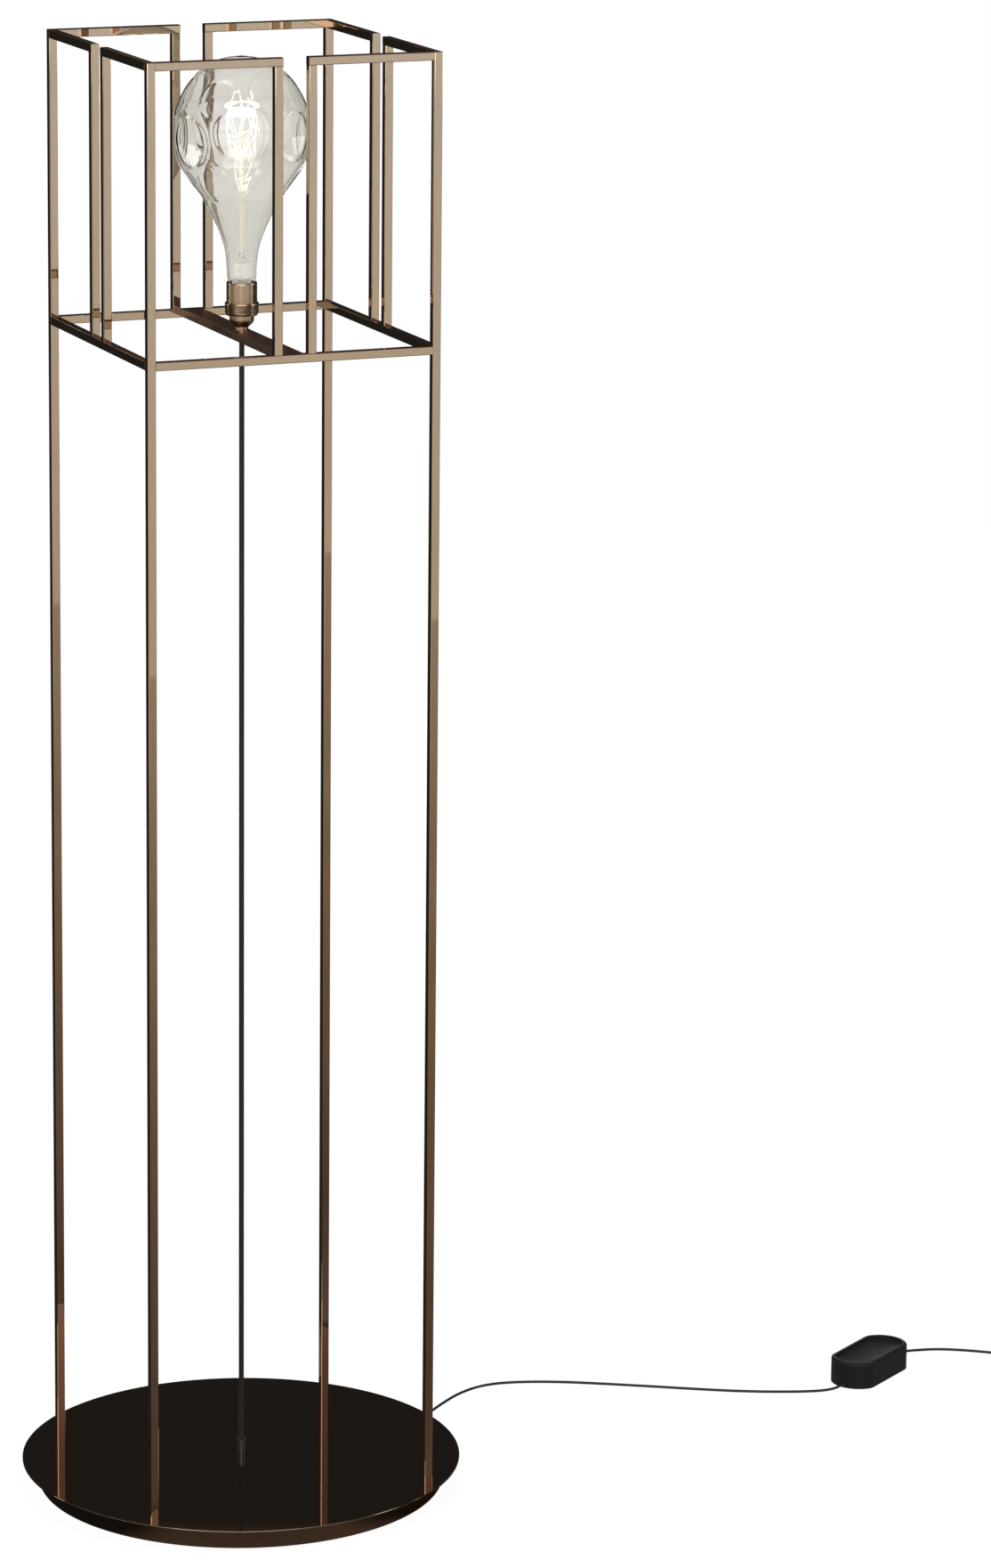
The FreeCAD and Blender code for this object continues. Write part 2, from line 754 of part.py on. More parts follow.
def make_stem():
    """The glass stem in the neck, which stands on the cap and flares at its foot."""
    top = "(cap_top + stem_height)"
    foot = "(cap_foot + cap_cone_height + 2 * metal_skin)"
    flare = "(cap_top + seat_gap)"
    outline = [("0", foot), ("stem_flare_radius", foot), ("stem_flare_radius", flare),
               ("stem_radius", "(%s + stem_flare_height)" % flare),
               ("stem_radius", "(%s - stem_radius)" % top), ("(stem_radius / 2)", top), ("0", top)]
    finish(turned("stem", outline), "bulb_stem")


# The loops of the filament: height as a share of the rod, tilt and turn in degrees.
FILAMENT_LOOPS = ((0.42, 55.0, 20.0), (0.58, 35.0, 140.0), (0.74, 8.0, 250.0), (0.9, 40.0, 80.0))


def make_filament():
    """The filament: a rod up from the stem that carries tilted loops."""
    foot = "(cap_top + stem_height)"
    pieces = [rod("filament_rod", "filament_rod_radius", "(filament_rod_length - stem_height)",
                  z=foot)]
    for index, (share, tilt, turn) in enumerate(FILAMENT_LOOPS):
        loop = doc.addObject("Part::Torus", "filament_loop_%d" % (index + 1))
        bind(loop, Radius1="filament_loop_radius", Radius2="filament_radius")
        lean = FreeCAD.Rotation(FreeCAD.Vector(0, 1, 0), tilt)
        swing = FreeCAD.Rotation(FreeCAD.Vector(0, 0, 1), turn)
        loop.Placement.Rotation = swing.multiply(lean)
        reach = "(filament_loop_radius * %.6f)" % math.cos(math.radians(tilt))
        drop = "(filament_loop_radius * %.6f)" % math.sin(math.radians(tilt))
        bind(loop, Placement__Base__x="(%s * cos(%s))" % (reach, turn),
             Placement__Base__y="(%s * sin(%s))" % (reach, turn),
             Placement__Base__z="(cap_top + %s * filament_rod_length - %s)" % (share, drop))
        pieces.append(loop)
    finish(fuse("filament", pieces), "bulb_filament")


# ---------------------------------------------------------------------------
# Mains lead
# ---------------------------------------------------------------------------

def lead_rotation():
    """Turns an upright piece to point straight out of the drum, where the lead leaves it."""
    level = FreeCAD.Rotation(FreeCAD.Vector(0, 1, 0), 90)
    swing = FreeCAD.Rotation(FreeCAD.Vector(0, 0, 1), number("lead_exit_angle"))
    return swing.multiply(level)


def out_along_lead(radius, aside=0.0):
    """A point of the floor plan at a distance from the axis, on the line of the lead's exit."""
    angle = math.radians(number("lead_exit_angle"))
    x = radius * math.cos(angle) - aside * math.sin(angle)
    y = radius * math.sin(angle) + aside * math.cos(angle)
    return x, y


def make_bush():
    """The rubber bush in the drum's wall, tapered where the lead comes out."""
    bore = "(lead_radius + lead_clearance)"
    wall_out = "drum_radius"
    outline = [(bore, "bush_start"), ("bush_flange_radius", "bush_start"),
               ("bush_flange_radius", "bush_seat"), ("bush_neck_radius", "bush_seat"),
               ("bush_neck_radius", wall_out), ("bush_flange_radius", wall_out),
               ("bush_flange_radius", "(drum_radius + bush_flange)"),
               ("(bush_neck_radius + metal_skin / 2)", "(drum_radius + bush_flange)"),
               ("bush_tip_radius", "bush_tip"), (bore, "bush_tip")]
    bush = turned("bush", outline)
    bush.Placement = FreeCAD.Placement(FreeCAD.Vector(), lead_rotation())
    bind(bush, Placement__Base__z="lead_exit_height")
    finish(bush, "lead_bush")


def make_block():
    """The terminal block on the bottom cover, where cord and lead are joined."""
    block = box("block", "block_length", "block_width", "block_height", z="cover_top")
    corner_x = "(-block_length / 2 * cos(lead_exit_angle) + block_width / 2 * sin(lead_exit_angle))"
    corner_y = "(-block_length / 2 * sin(lead_exit_angle) - block_width / 2 * cos(lead_exit_angle))"
    place(block, corner_x, corner_y, "cover_top", turn="lead_exit_angle")
    finish(block, "terminal_block")


def rounded_path(points):
    """Straight runs joined by arcs, each as large as its two runs allow; prints the radii."""
    corners = [FreeCAD.Vector(*point) for point in points]
    edges = []
    radii = []
    start = corners[0]
    for before, corner, after in zip(corners, corners[1:], corners[2:]):
        into = (corner - before).normalize()
        out = (after - corner).normalize()
        half_turn = into.getAngle(out) / 2
        reach = 0.45 * min(corner.distanceToPoint(before), corner.distanceToPoint(after))
        radius = reach / math.tan(half_turn)
        enter = corner - into * reach
        leave = corner + out * reach
        inward = (out - into).normalize()
        middle = corner + inward * (radius / math.cos(half_turn) - radius)
        edges.append(Part.LineSegment(start, enter).toShape())
        edges.append(Part.Arc(enter, middle, leave).toShape())
        radii.append(round(radius, 1))
        start = leave
    edges.append(Part.LineSegment(start, corners[-1]).toShape())
    print("radii", radii)
    return Part.Wire(edges)


def cord_tube(points, radius):
    """A round tube along a rounded path; prints its length and how true its volume is."""
    path = rounded_path(points)
    first = FreeCAD.Vector(*points[0])
    ahead = FreeCAD.Vector(*points[1]) - first
    section = Part.Wire(Part.makeCircle(radius, first, ahead))
    tube = path.makePipeShell([section], True, False)
    share = tube.Volume / (math.pi * radius ** 2 * path.Length)
    print("length %.1f mm, volume over section times length %.4f" % (path.Length, share))
    return tube


# Plan of the lead inside the base: distance out, offset aside and height of each point.
def inner_lead_points():
    """The lead in the base: off the block, down on the cover, and up to the bush."""
    lying = number("cover_top + lead_radius + lead_clearance")
    exit_height = number("lead_exit_height")
    start = number("block_length / 2 + lead_clearance")
    wall = number("drum_inside")
    free = wall - start
    end = number("bush_tip - bush_hold")
    plan = ((start, 0.0, exit_height), (start + 0.08 * free, 0.5, exit_height - 0.3),
            (start + 0.20 * free, 2.0, lying), (start + 0.44 * free, 0.5, lying),
            (start + 0.68 * free, 2.5, lying), (start + 0.85 * free, 0.5, lying + 0.2),
            (start + 0.94 * free, 0.0, exit_height), (end, 0.0, exit_height))
    return [out_along_lead(radius, aside) + (height,) for radius, aside, height in plan]


# The lead on the floor between the bush and the dimmer, chosen by hand.
LEAD_TO_DIMMER = ((290.0, 113.5, 1.75), (322.0, 143.0, 1.75), (358.0, 171.5, 1.75),
                  (398.0, 187.5, 1.75), (440.0, 182.5, 1.75), (494.0, 161.5, 1.75),
                  (545.0, 133.0, 1.75), (595.0, 103.8, 1.75), (645.0, 73.4, 1.75),
                  (695.0, 45.5, 1.75), (742.0, 25.5, 1.75), (780.0, 13.0, 1.75))

# The lead on the floor between the dimmer and the put-away turns, chosen by hand.
LEAD_TO_COIL = ((966.0, 107.5, 1.75), (1000.0, 100.0, 1.75), (1036.0, 79.0, 1.75),
                (1070.0, 52.0, 1.75))


def direction(turn, rise):
    """A direction from its turn about the upright axis and its rise, both in degrees."""
    turn = math.radians(turn)
    rise = math.radians(rise)
    return FreeCAD.Vector(math.cos(turn) * math.cos(rise), math.sin(turn) * math.cos(rise),
                          math.sin(rise))


def dimmer_end(way, side):
    """The point where the lead meets an end of the dimmer, and its direction there."""
    along = direction(number("dimmer_turn"), 0.0) * (way * number("dimmer_length / 2"))
    middle = FreeCAD.Vector(number("dimmer_x"), number("dimmer_y"), number("%s_height" % side))
    heading = direction(number("dimmer_turn + %s_turn" % side), number("%s_rise" % side))
    return middle + along, heading


def coil_entry():
    """The point where the lead comes up to the coil, on a line that touches its outer turn."""
    angle = number("coil_entry_angle")
    turn_radius = number("coil_outer - lead_radius")
    middle = FreeCAD.Vector(number("coil_x"), number("coil_y"), number("lead_radius + lead_clearance"))
    touch = middle + direction(angle, 0.0) * turn_radius
    return touch - direction(angle - 90.0, 0.0) * (coil_overhang() + number("lead_clearance"))


def coil_overhang():
    """How far along its line a lead that touches the outer turn lies within the coil's ring."""
    return math.sqrt(number("coil_outer") ** 2 - number("coil_outer - 2 * lead_radius") ** 2)


def make_leads():
    """The lead in three stretches: in the base, to the dimmer and on to the coil."""
    radius = number("lead_radius")
    exit_height = number("lead_exit_height")
    beyond = number("gland_length - gland_hold")
    add_shape("lead_inside", cord_tube(inner_lead_points(), radius), "inner_lead")
    start = out_along_lead(number("bush_tip - bush_hold")) + (exit_height,)
    level = out_along_lead(number("bush_tip + 16")) + (exit_height,)
    end, heading = dimmer_end(-1, "lead_in")
    arrival = [tuple(end - heading * (beyond + 16.5)), tuple(end - heading * beyond)]
    route = [start, level] + list(LEAD_TO_DIMMER) + arrival
    add_shape("lead_a", cord_tube(route, radius), "lead_to_dimmer")
    end, heading = dimmer_end(1, "lead_out")
    departure = [tuple(end + heading * beyond), tuple(end + heading * (beyond + 17.0))]
    route = departure + list(LEAD_TO_COIL) + [tuple(coil_entry())]
    add_shape("lead_b", cord_tube(route, radius), "lead_to_plug")


def make_coil():
    """The outer shape of the put-away turns of the lead, lying on the floor."""
    coil = ring_plate("coil", "coil_outer", "coil_inner", "coil_height", "0")
    place(coil, "coil_x", "coil_y", "0")
    finish(coil, "lead_coil")


def make_plug():
    """The flat two-pin plug beside the coil, its tail towards the coil."""
    half_height = number("plug_height / 2")
    half_pins = number("plug_width / 2")
    shoulder = number("plug_shoulder_width / 2")
    length = number("plug_length")
    tail = number("plug_tail_length")
    neck = number("plug_tail_radius")
    flat = [(-neck, 0), (-shoulder, -0.55 * length), (-half_pins, -length),
            (half_pins, -length), (shoulder, -0.55 * length), (neck, 0)]
    corners = [FreeCAD.Vector(x, y, -half_height) for x, y in flat]
    wire = Part.makePolygon(corners + corners[:1])
    block = Part.Face(wire).extrude(FreeCAD.Vector(0, 0, 2 * half_height))
    relief = Part.makeCone(neck, number("plug_tail_tip_radius"), tail, FreeCAD.Vector(),
                           FreeCAD.Vector(0, 1, 0))
    solid = block.fuse(relief).removeSplitter()
    plug = add_shape("plug", solid, "mains_plug")
    x = number("coil_x + coil_outer - lead_radius")
    y = number("coil_y - lead_radius") - coil_overhang() - tail
    plug.Placement.Base = FreeCAD.Vector(x, y, half_height)
    make_pins(x, y - length, half_height)


def make_pins(x, y, z):
    """The two round pins of the plug."""
    pins = []
    for way in (-1, 1):
        start = FreeCAD.Vector(x + way * number("pin_spacing / 2"), y, z)
        pins.append(Part.makeCylinder(number("pin_radius"), number("pin_length"), start,
                                      FreeCAD.Vector(0, -1, 0)))
    add_shape("pins", Part.makeCompound(pins), "plug_pins")


# ---------------------------------------------------------------------------
# Foot dimmer, made about its own middle and then moved to its place
# ---------------------------------------------------------------------------

def oval(name, inset, height, z):
    """An upright slab with straight sides and bulged ends, inset from the dimmer's outline."""
    length = "(dimmer_length - 2 * (%s))" % inset
    width = "(dimmer_width - 2 * (%s))" % inset
    end_radius = "(dimmer_end_radius - (%s))" % inset
    centre = "(%s / 2 - %s)" % (length, end_radius)
    strip = box(name + "_strip", length, width, height, "(-%s / 2)" % length,
                "(-%s / 2)" % width, z)
    middle_length = "(2 * (%s))" % centre
    middle = box(name + "_middle", middle_length, "(2 * %s)" % end_radius, height,
                 "(-(%s))" % centre, "(-%s)" % end_radius, z)
    left = rod(name + "_left", end_radius, height, "(-(%s))" % centre, "0", z)
    right = rod(name + "_right", end_radius, height, centre, "0", z)
    return common(name, [strip, fuse(name + "_round", [left, middle, right])])


def at_dimmer(piece, label):
    """Moves a finished piece of the dimmer to its place on the floor."""
    return finish(place(piece, "dimmer_x", "dimmer_y", "0", turn="dimmer_turn"), label)


def gland(name, way, side):
    """The gland at an end of the dimmer and its bore, both along the lead."""
    heading = direction(number("%s_turn" % side), number("%s_rise" % side)) * way
    outward = FreeCAD.Rotation(FreeCAD.Vector(0, 0, 1), heading)
    end = FreeCAD.Vector(way * number("dimmer_length / 2"), 0, number("%s_height" % side))
    boss = doc.addObject("Part::Cone", name)
    bind(boss, Radius1="gland_radius", Radius2="gland_tip_radius",
         Height="(gland_length + dimmer_wall / 2)")
    boss.Placement = FreeCAD.Placement(end - heading * number("dimmer_wall / 2"), outward)
    bore = doc.addObject("Part::Cylinder", name + "_bore")
    bind(bore, Radius="(lead_radius + lead_clearance)", Height="(gland_length + 3 * dimmer_wall)")
    bore.Placement = FreeCAD.Placement(end - heading * number("2 * dimmer_wall"), outward)
    return boss, bore


def make_dimmer_housing():
    """The housing: a shell open below, with the rim round the foot plate and two glands."""
    skin_height = "(dimmer_height - dimmer_skirt_gap)"
    outside = oval("housing_outside", "0", skin_height, "dimmer_skirt_gap")
    cavity = oval("housing_cavity", "dimmer_wall", "(dimmer_roof - dimmer_skirt_gap)",
                  "dimmer_skirt_gap")
    mouth = oval("housing_mouth", "dimmer_rim", "(2 * dimmer_wall)",
                 "(dimmer_roof - dimmer_wall / 2)")
    gland_in, bore_in = gland("gland_in", -1, "lead_in")
    gland_out, bore_out = gland("gland_out", 1, "lead_out")
    solid = fuse("housing_solid", [outside, gland_in, gland_out])
    hollow = fuse("housing_hollow", [cavity, mouth, bore_in, bore_out])
    at_dimmer(cut("housing", solid, hollow), "dimmer_housing")


def make_dimmer_base():
    """The base plate that closes the housing from below."""
    inset = "(dimmer_wall + dimmer_base_clearance)"
    at_dimmer(oval("base_plate", inset, "dimmer_base_thickness", "0"), "dimmer_base")


def make_foot_plate():
    """The plate that the foot presses: its flange under the rim and its boss over the switch."""
    top = oval("plate_top", "(dimmer_rim + plate_clearance)",
               "(plate_top - plate_flange_foot)", "plate_flange_foot")
    flange = oval("plate_flange", "(dimmer_rim - plate_flange)", "plate_flange_height",
                  "plate_flange_foot")
    boss = rod("plate_boss", "boss_radius", "(boss_height + plate_flange_height / 2)", z="boss_foot")
    at_dimmer(fuse("foot_plate", [top, flange, boss]), "dimmer_foot_plate")


def make_switch():
    """The dimmer's works: a block on the base plate with the plunger under the boss."""
    block = box("switch_block", "switch_length", "switch_width", "switch_height",
                "(-switch_length / 2)", "(-switch_width / 2)", "dimmer_base_thickness")
    plunger = rod("switch_plunger", "plunger_radius", "(plunger_top - dimmer_base_thickness)",
                  z="dimmer_base_thickness")
    at_dimmer(fuse("switch", [block, plunger]), "dimmer_switch")


def make_spring():
    """The return spring between the works and the foot plate, round plunger and boss."""
    wire_radius = number("spring_wire_radius")
    radius = number("spring_radius")
    rise = number("plate_flange_foot - switch_top - 2 * spring_wire_radius - seat_gap / 3")
    chords = int(number("spring_turns * spring_chords"))
    turn = 2 * math.pi / number("spring_chords")
    points = [FreeCAD.Vector(radius * math.cos(turn * index), radius * math.sin(turn * index),
                             rise * index / chords) for index in range(chords + 1)]
    section = Part.Wire(Part.makeCircle(wire_radius, points[0], points[1] - points[0]))
    spring = doc.addObject("Part::Feature", "spring")
    spring.Shape = Part.makePolygon(points).makePipeShell([section], True, True, 1)
    foot = "(switch_top + spring_wire_radius)"
    finish(place(spring, "dimmer_x", "dimmer_y", foot, turn="dimmer_turn"), "dimmer_spring")


# ---------------------------------------------------------------------------
# Building, checking and writing
# ---------------------------------------------------------------------------

def build():
    """Makes every sub-part of the lamp."""
    make_posts()
    make_ring()
    make_cage_sides()
    make_cross_bar()
    make_base_disc()
    make_drum()
    make_ballast()
    make_cover()
    make_lamp_cord()
    make_grip()
    make_nuts()
    make_nipple()
    make_cup()
    make_shell()
    make_shade_ring()
    make_core()
    make_bulb_cap()
    make_glass()
    make_stem()
    make_filament()
    make_bush()
    make_block()
    make_leads()
    make_coil()
    make_plug()
    make_dimmer_housing()
    make_dimmer_base()
    make_foot_plate()
    make_switch()
    make_spring()
    doc.recompute()


def check():
    """Stops if an object failed, or if a sub-part has no valid shape of solids."""
    for item in doc.Objects:
        if "Invalid" in item.State or "Error" in item.State:
            raise RuntimeError("%s failed: %s" % (item.Name, item.State))
    for piece in NODES:
        shape = piece.Shape
        if shape.isNull() or not shape.isValid() or not shape.Solids:
            raise RuntimeError("%s has no valid solid" % piece.Label)


def write():
    """Writes each sub-part to its own file."""
    os.makedirs("parts", exist_ok=True)
    for piece in NODES:
        piece.Shape.exportStep("parts/%s.step" % piece.Label)
    print("wrote %d sub-parts" % len(NODES))


build()
check()
write()
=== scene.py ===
# %% [markdown]
# # A wire cage floor lamp, dressed for the camera
#
# Four slim square posts stand on a round plate and carry an open cube of square tube. In the cube, a cross bar holds a
# turned lampholder and a large dimpled glass bulb. A braided cord drops from the bar into the plate. A thin lead runs
# over the floor from the plate, through a foot dimmer, to a plug.
#
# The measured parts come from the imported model, in metres, with the origin on the floor under the plate. This file
# gives them their looks: it makes finer pieces over them, mixes their finishes and lights them. Every new surface is a
# grid of points worked out with numpy.

import math

import bmesh
import bpy
import numpy as np
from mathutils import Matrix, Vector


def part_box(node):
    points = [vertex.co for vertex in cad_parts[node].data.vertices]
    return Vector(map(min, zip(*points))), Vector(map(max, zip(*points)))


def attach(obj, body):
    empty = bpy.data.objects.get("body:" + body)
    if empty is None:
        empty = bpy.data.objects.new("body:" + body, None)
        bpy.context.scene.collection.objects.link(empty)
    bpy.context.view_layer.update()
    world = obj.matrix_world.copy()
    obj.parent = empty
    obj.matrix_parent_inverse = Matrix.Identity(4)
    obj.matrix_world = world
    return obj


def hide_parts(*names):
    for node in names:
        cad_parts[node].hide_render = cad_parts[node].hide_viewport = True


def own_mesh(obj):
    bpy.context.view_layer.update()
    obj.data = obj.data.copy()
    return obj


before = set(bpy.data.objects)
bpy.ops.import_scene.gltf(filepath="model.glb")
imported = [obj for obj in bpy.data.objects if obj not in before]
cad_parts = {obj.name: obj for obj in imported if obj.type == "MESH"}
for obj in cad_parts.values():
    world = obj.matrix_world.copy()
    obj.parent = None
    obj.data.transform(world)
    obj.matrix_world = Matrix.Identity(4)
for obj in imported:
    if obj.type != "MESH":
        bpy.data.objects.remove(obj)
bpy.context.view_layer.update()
MM = 0.001
scene = bpy.context.scene

# %% [markdown]
# ## The camera
#
# The picture was taken from in front and to the left, a little above the top of the lamp, with a long lens. A camera
# can be aimed with angles, or its axes can be built as arrows. Arrows are used here, because the picture's own lens
# was shifted: the aim is 11.5 degrees down, and a small downward shift of the lens gives the rest of the framing.

# %% Camera
EYE = np.array([-2.3119, -6.2956, 2.5204])
YAW, PITCH, ROLL = np.radians([22.717, 11.538, 0.538])
LENS_SHIFT = -0.15
FOCAL_LENGTH = 133.46  # millimetres, as is the sensor's width
SENSOR_WIDTH = 36.0
FAR_LIMIT = 100.0


def camera_axes(yaw, pitch, roll):
    """Right, up and forward: yaw turns forward from +Y to +X, pitch lowers it, and roll turns right and up about it."""
    forward = np.array([math.sin(yaw) * math.cos(pitch), math.cos(yaw) * math.cos(pitch), -math.sin(pitch)])
    right = np.array([math.cos(yaw), -math.sin(yaw), 0.0])
    up = np.cross(right, forward)
    return right * math.cos(roll) + up * math.sin(roll), up * math.cos(roll) - right * math.sin(roll), forward


right, up, forward = camera_axes(YAW, PITCH, ROLL)
view = np.eye(4)
view[:3, 0], view[:3, 1], view[:3, 2], view[:3, 3] = right, up, -forward, EYE
camera = bpy.data.objects.new("camera", bpy.data.cameras.new("camera"))
scene.collection.objects.link(camera)
camera.matrix_world = view.T.tolist()
camera.data.lens = FOCAL_LENGTH
camera.data.sensor_width = SENSOR_WIDTH
camera.data.shift_y = LENS_SHIFT
camera.data.clip_end = FAR_LIMIT
scene.camera = camera
print("camera looks along", forward.round(3))

# %% [markdown]
# ## The mains lead
#
# A thin two-core lead leaves the plate through a rubber bush, lies in one loose curve on the floor up to the foot
# dimmer, and goes on to the plug. It could be a mesh tube, but a NURBS curve bends as a lead does: its control points
# are the bends of the route, and the line runs smoothly inside them. The length that the picture doesn't show is
# wound into a small coil, with the turns beside and on each other.

# %% Route of the lead, in millimetres
TO_DIMMER = [(249.96, 90.98, 8.5), (266.87, 97.13, 8.5), (290.0, 113.5, 1.75), (322.0, 143.0, 1.75),
             (358.0, 171.5, 1.75), (398.0, 187.5, 1.75), (440.0, 182.5, 1.75), (494.0, 161.5, 1.75),
             (545.0, 133.0, 1.75), (595.0, 103.8, 1.75), (645.0, 73.4, 1.75), (695.0, 45.5, 1.75),
             (742.0, 25.5, 1.75), (780.0, 13.0, 1.75), (802.57, 7.17, 3.62), (817.96, 12.77, 5.63)]
THROUGH_DIMMER = [(843.0, 28.5, 6.2), (873.4, 49.3, 7.0), (903.8, 70.1, 7.8)]
TO_COIL = [(928.53, 86.48, 7.79), (942.59, 95.96, 6.60), (966.0, 107.5, 1.75), (1000.0, 100.0, 1.75),
           (1036.0, 79.0, 1.75), (1070.0, 52.0, 1.75), (1087.82, 30.84, 1.75)]
LEAD_RADIUS = 1.7
COIL_CENTRE = (1078.8, 7.2)
COIL_ENTRY = 40.0  # degrees, where the lead touches the coil's outer turn
COIL_EXIT = 0.0
STEPS_PER_TURN = 18
CROSSING_STEPS = 3.0  # at the end of each turn, where the lead crosses to its next lane
COIL_LANES = [(22.1, 1.75), (18.7, 1.75), (15.3, 1.75), (15.3, 5.15), (15.3, 8.5), (18.7, 8.5), (18.7, 5.15),
              (22.1, 8.5), (22.1, 5.15)]  # radius and height of each turn, in the order they are wound


def coil_points():
    """Points of the turns: each turn keeps to its lane, and crosses to the next one over its last steps. A point
    lies at its lane's radius times the cosine and sine of its angle, from the coil's centre."""
    points = []
    for lane, (radius, height) in enumerate(COIL_LANES[:-1]):
        next_radius, next_height = COIL_LANES[lane + 1]
        for step in range(STEPS_PER_TURN):
            across = max(0.0, (step - STEPS_PER_TURN + CROSSING_STEPS) / CROSSING_STEPS)
            angle = math.radians(COIL_ENTRY - 360.0 * step / STEPS_PER_TURN)
            reach = radius + (next_radius - radius) * across
            points.append((COIL_CENTRE[0] + reach * math.cos(angle), COIL_CENTRE[1] + reach * math.sin(angle),
                           height + (next_height - height) * across))
    radius, height = COIL_LANES[-1]
    for angle in np.radians([COIL_ENTRY, COIL_ENTRY / 2, COIL_EXIT]):
        points.append((COIL_CENTRE[0] + radius * math.cos(angle), COIL_CENTRE[1] + radius * math.sin(angle), height))
    return points


AROUND_COIL = coil_points()
TAIL = [(1100.9, 1.0, 5.7), (1100.9, -6.76, 6.85)]
print("bends:", len(TO_DIMMER), "to the dimmer and", len(TO_COIL), "to the coil;", len(AROUND_COIL), "on the coil")


# %% Lead curves
def lead_curve(name, route):
    """A smooth round lead: a NURBS line with the route's bends as its control points, given the lead's radius."""
    data = bpy.data.curves.new(name, "CURVE")
    data.dimensions = "3D"
    data.bevel_depth = LEAD_RADIUS * MM
    data.bevel_resolution = 5
    data.use_fill_caps = True
    line = data.splines.new("NURBS")
    line.points.add(len(route) - 1)
    for knot, place in zip(line.points, route):
        knot.co = (place[0] * MM, place[1] * MM, place[2] * MM, 1.0)
    line.order_u = 3
    line.use_endpoint_u = True
    line.resolution_u = 8
    lead = bpy.data.objects.new(name, data)
    scene.collection.objects.link(lead)
    return lead


lead = lead_curve("mains_lead", TO_DIMMER + THROUGH_DIMMER + TO_COIL + AROUND_COIL + TAIL)
print("lead of radius", LEAD_RADIUS, "mm")

# %% [markdown]
# ## Surfaces from grids of points
#
# Almost every part of a lamp is turned, drawn or moulded. So each one here is a grid of points with rows along a
# profile or path and columns around it. One helper lays faces over any such grid, and the others only work out the
# points. Corners are softened with a short curve, because an edge with no radius never catches the light.

# %% Faces over a grid
def skin(points, loop=False, caps=(True, True)):
    """Vertices and faces over points[row, column]: four-sided faces between neighbours, with columns that close into
    rings, rows that close too when loop is true, and otherwise a flat cap on the first and last ring."""
    rows, columns = points.shape[:2]
    index = np.arange(rows * columns).reshape(rows, columns)
    upper = np.roll(index, -1, axis=0)
    last = rows if loop else rows - 1
    quads = np.stack([index, np.roll(index, -1, axis=1), np.roll(upper, -1, axis=1), upper], axis=-1)[:last]
    faces = quads.reshape(-1, 4).tolist()
    if not loop and caps[0]:
        faces.append(index[0, ::-1].tolist())
    if not loop and caps[1]:
        faces.append(index[-1].tolist())
    return points.reshape(-1, 3), faces


print("faces over a grid of 3 rows of 4:", len(skin(np.zeros((3, 4, 3)))[1]))

# %% Softened corners
CORNER_SHARE = 0.45  # the most of a side that one corner may take
HOLD_REACH = 0.08  # how far past a curve the flat side's shading is held, as a share of the reach
HOLD_SHARE = 0.04  # and at most, as a share of the side


def softened(outline, reach, steps=4, closed=False):
    """An outline with each corner replaced by a short curve: a blend (1-t)^2 A + 2t(1-t) C + t^2 B from the point A
    at reach before the corner C to the point B at reach after it. One more point just before A and one just after B
    keep the shading of the flat sides flat."""
    corner = np.asarray(outline, float)
    before, after = np.roll(corner, 1, axis=0), np.roll(corner, -1, axis=0)
    to_before, to_after = before - corner, after - corner
    far_before = np.linalg.norm(to_before, axis=1, keepdims=True)
    far_after = np.linalg.norm(to_after, axis=1, keepdims=True)
    reach = np.broadcast_to(np.asarray(reach, float).reshape(-1, 1), far_before.shape)
    start = corner + to_before * np.minimum(reach / far_before, CORNER_SHARE)
    end = corner + to_after * np.minimum(reach / far_after, CORNER_SHARE)
    t = np.linspace(0.0, 1.0, steps + 1).reshape(1, -1, 1)
    blend = (1 - t) ** 2 * start[:, None] + 2 * t * (1 - t) * corner[:, None] + t ** 2 * end[:, None]
    early = start + to_before * np.minimum(HOLD_REACH * reach / far_before, HOLD_SHARE)
    late = end + to_after * np.minimum(HOLD_REACH * reach / far_after, HOLD_SHARE)
    blend = np.concatenate([early[:, None], blend, late[:, None]], axis=1)
    if closed:
        return blend.reshape(-1, corner.shape[1])
    return np.vstack([corner[:1], blend[1:-1].reshape(-1, corner.shape[1]), corner[-1:]])


print("a softened square has", len(softened([(0, 0), (1, 0), (1, 1), (0, 1)], 0.1, closed=True)), "points")


# %% Turned surfaces
def turned(profile, sides=96, loop=False, caps=(True, True), ripple=None):
    """A surface of revolution about the upright axis: a profile point (r, z) becomes r cos a, r sin a, z at each angle
    a. ripple(a, r, z) may return another radius for each point."""
    profile = np.asarray(profile, float)
    angle = np.linspace(0.0, 2 * np.pi, sides, endpoint=False)
    radius, level, angle = np.broadcast_arrays(profile[:, :1], profile[:, 1:2], angle[None])
    if ripple is not None:
        radius = ripple(angle, radius, level)
    points = np.stack([radius * np.cos(angle), radius * np.sin(angle), level], axis=-1)
    return skin(points * MM, loop, caps)


print("a turned cone has", len(turned([(1, 0), (0, 1)])[0]), "points")


# %% A piece from one or more surfaces
SAME_POINT = 2e-7  # metres: points nearer than this are merged


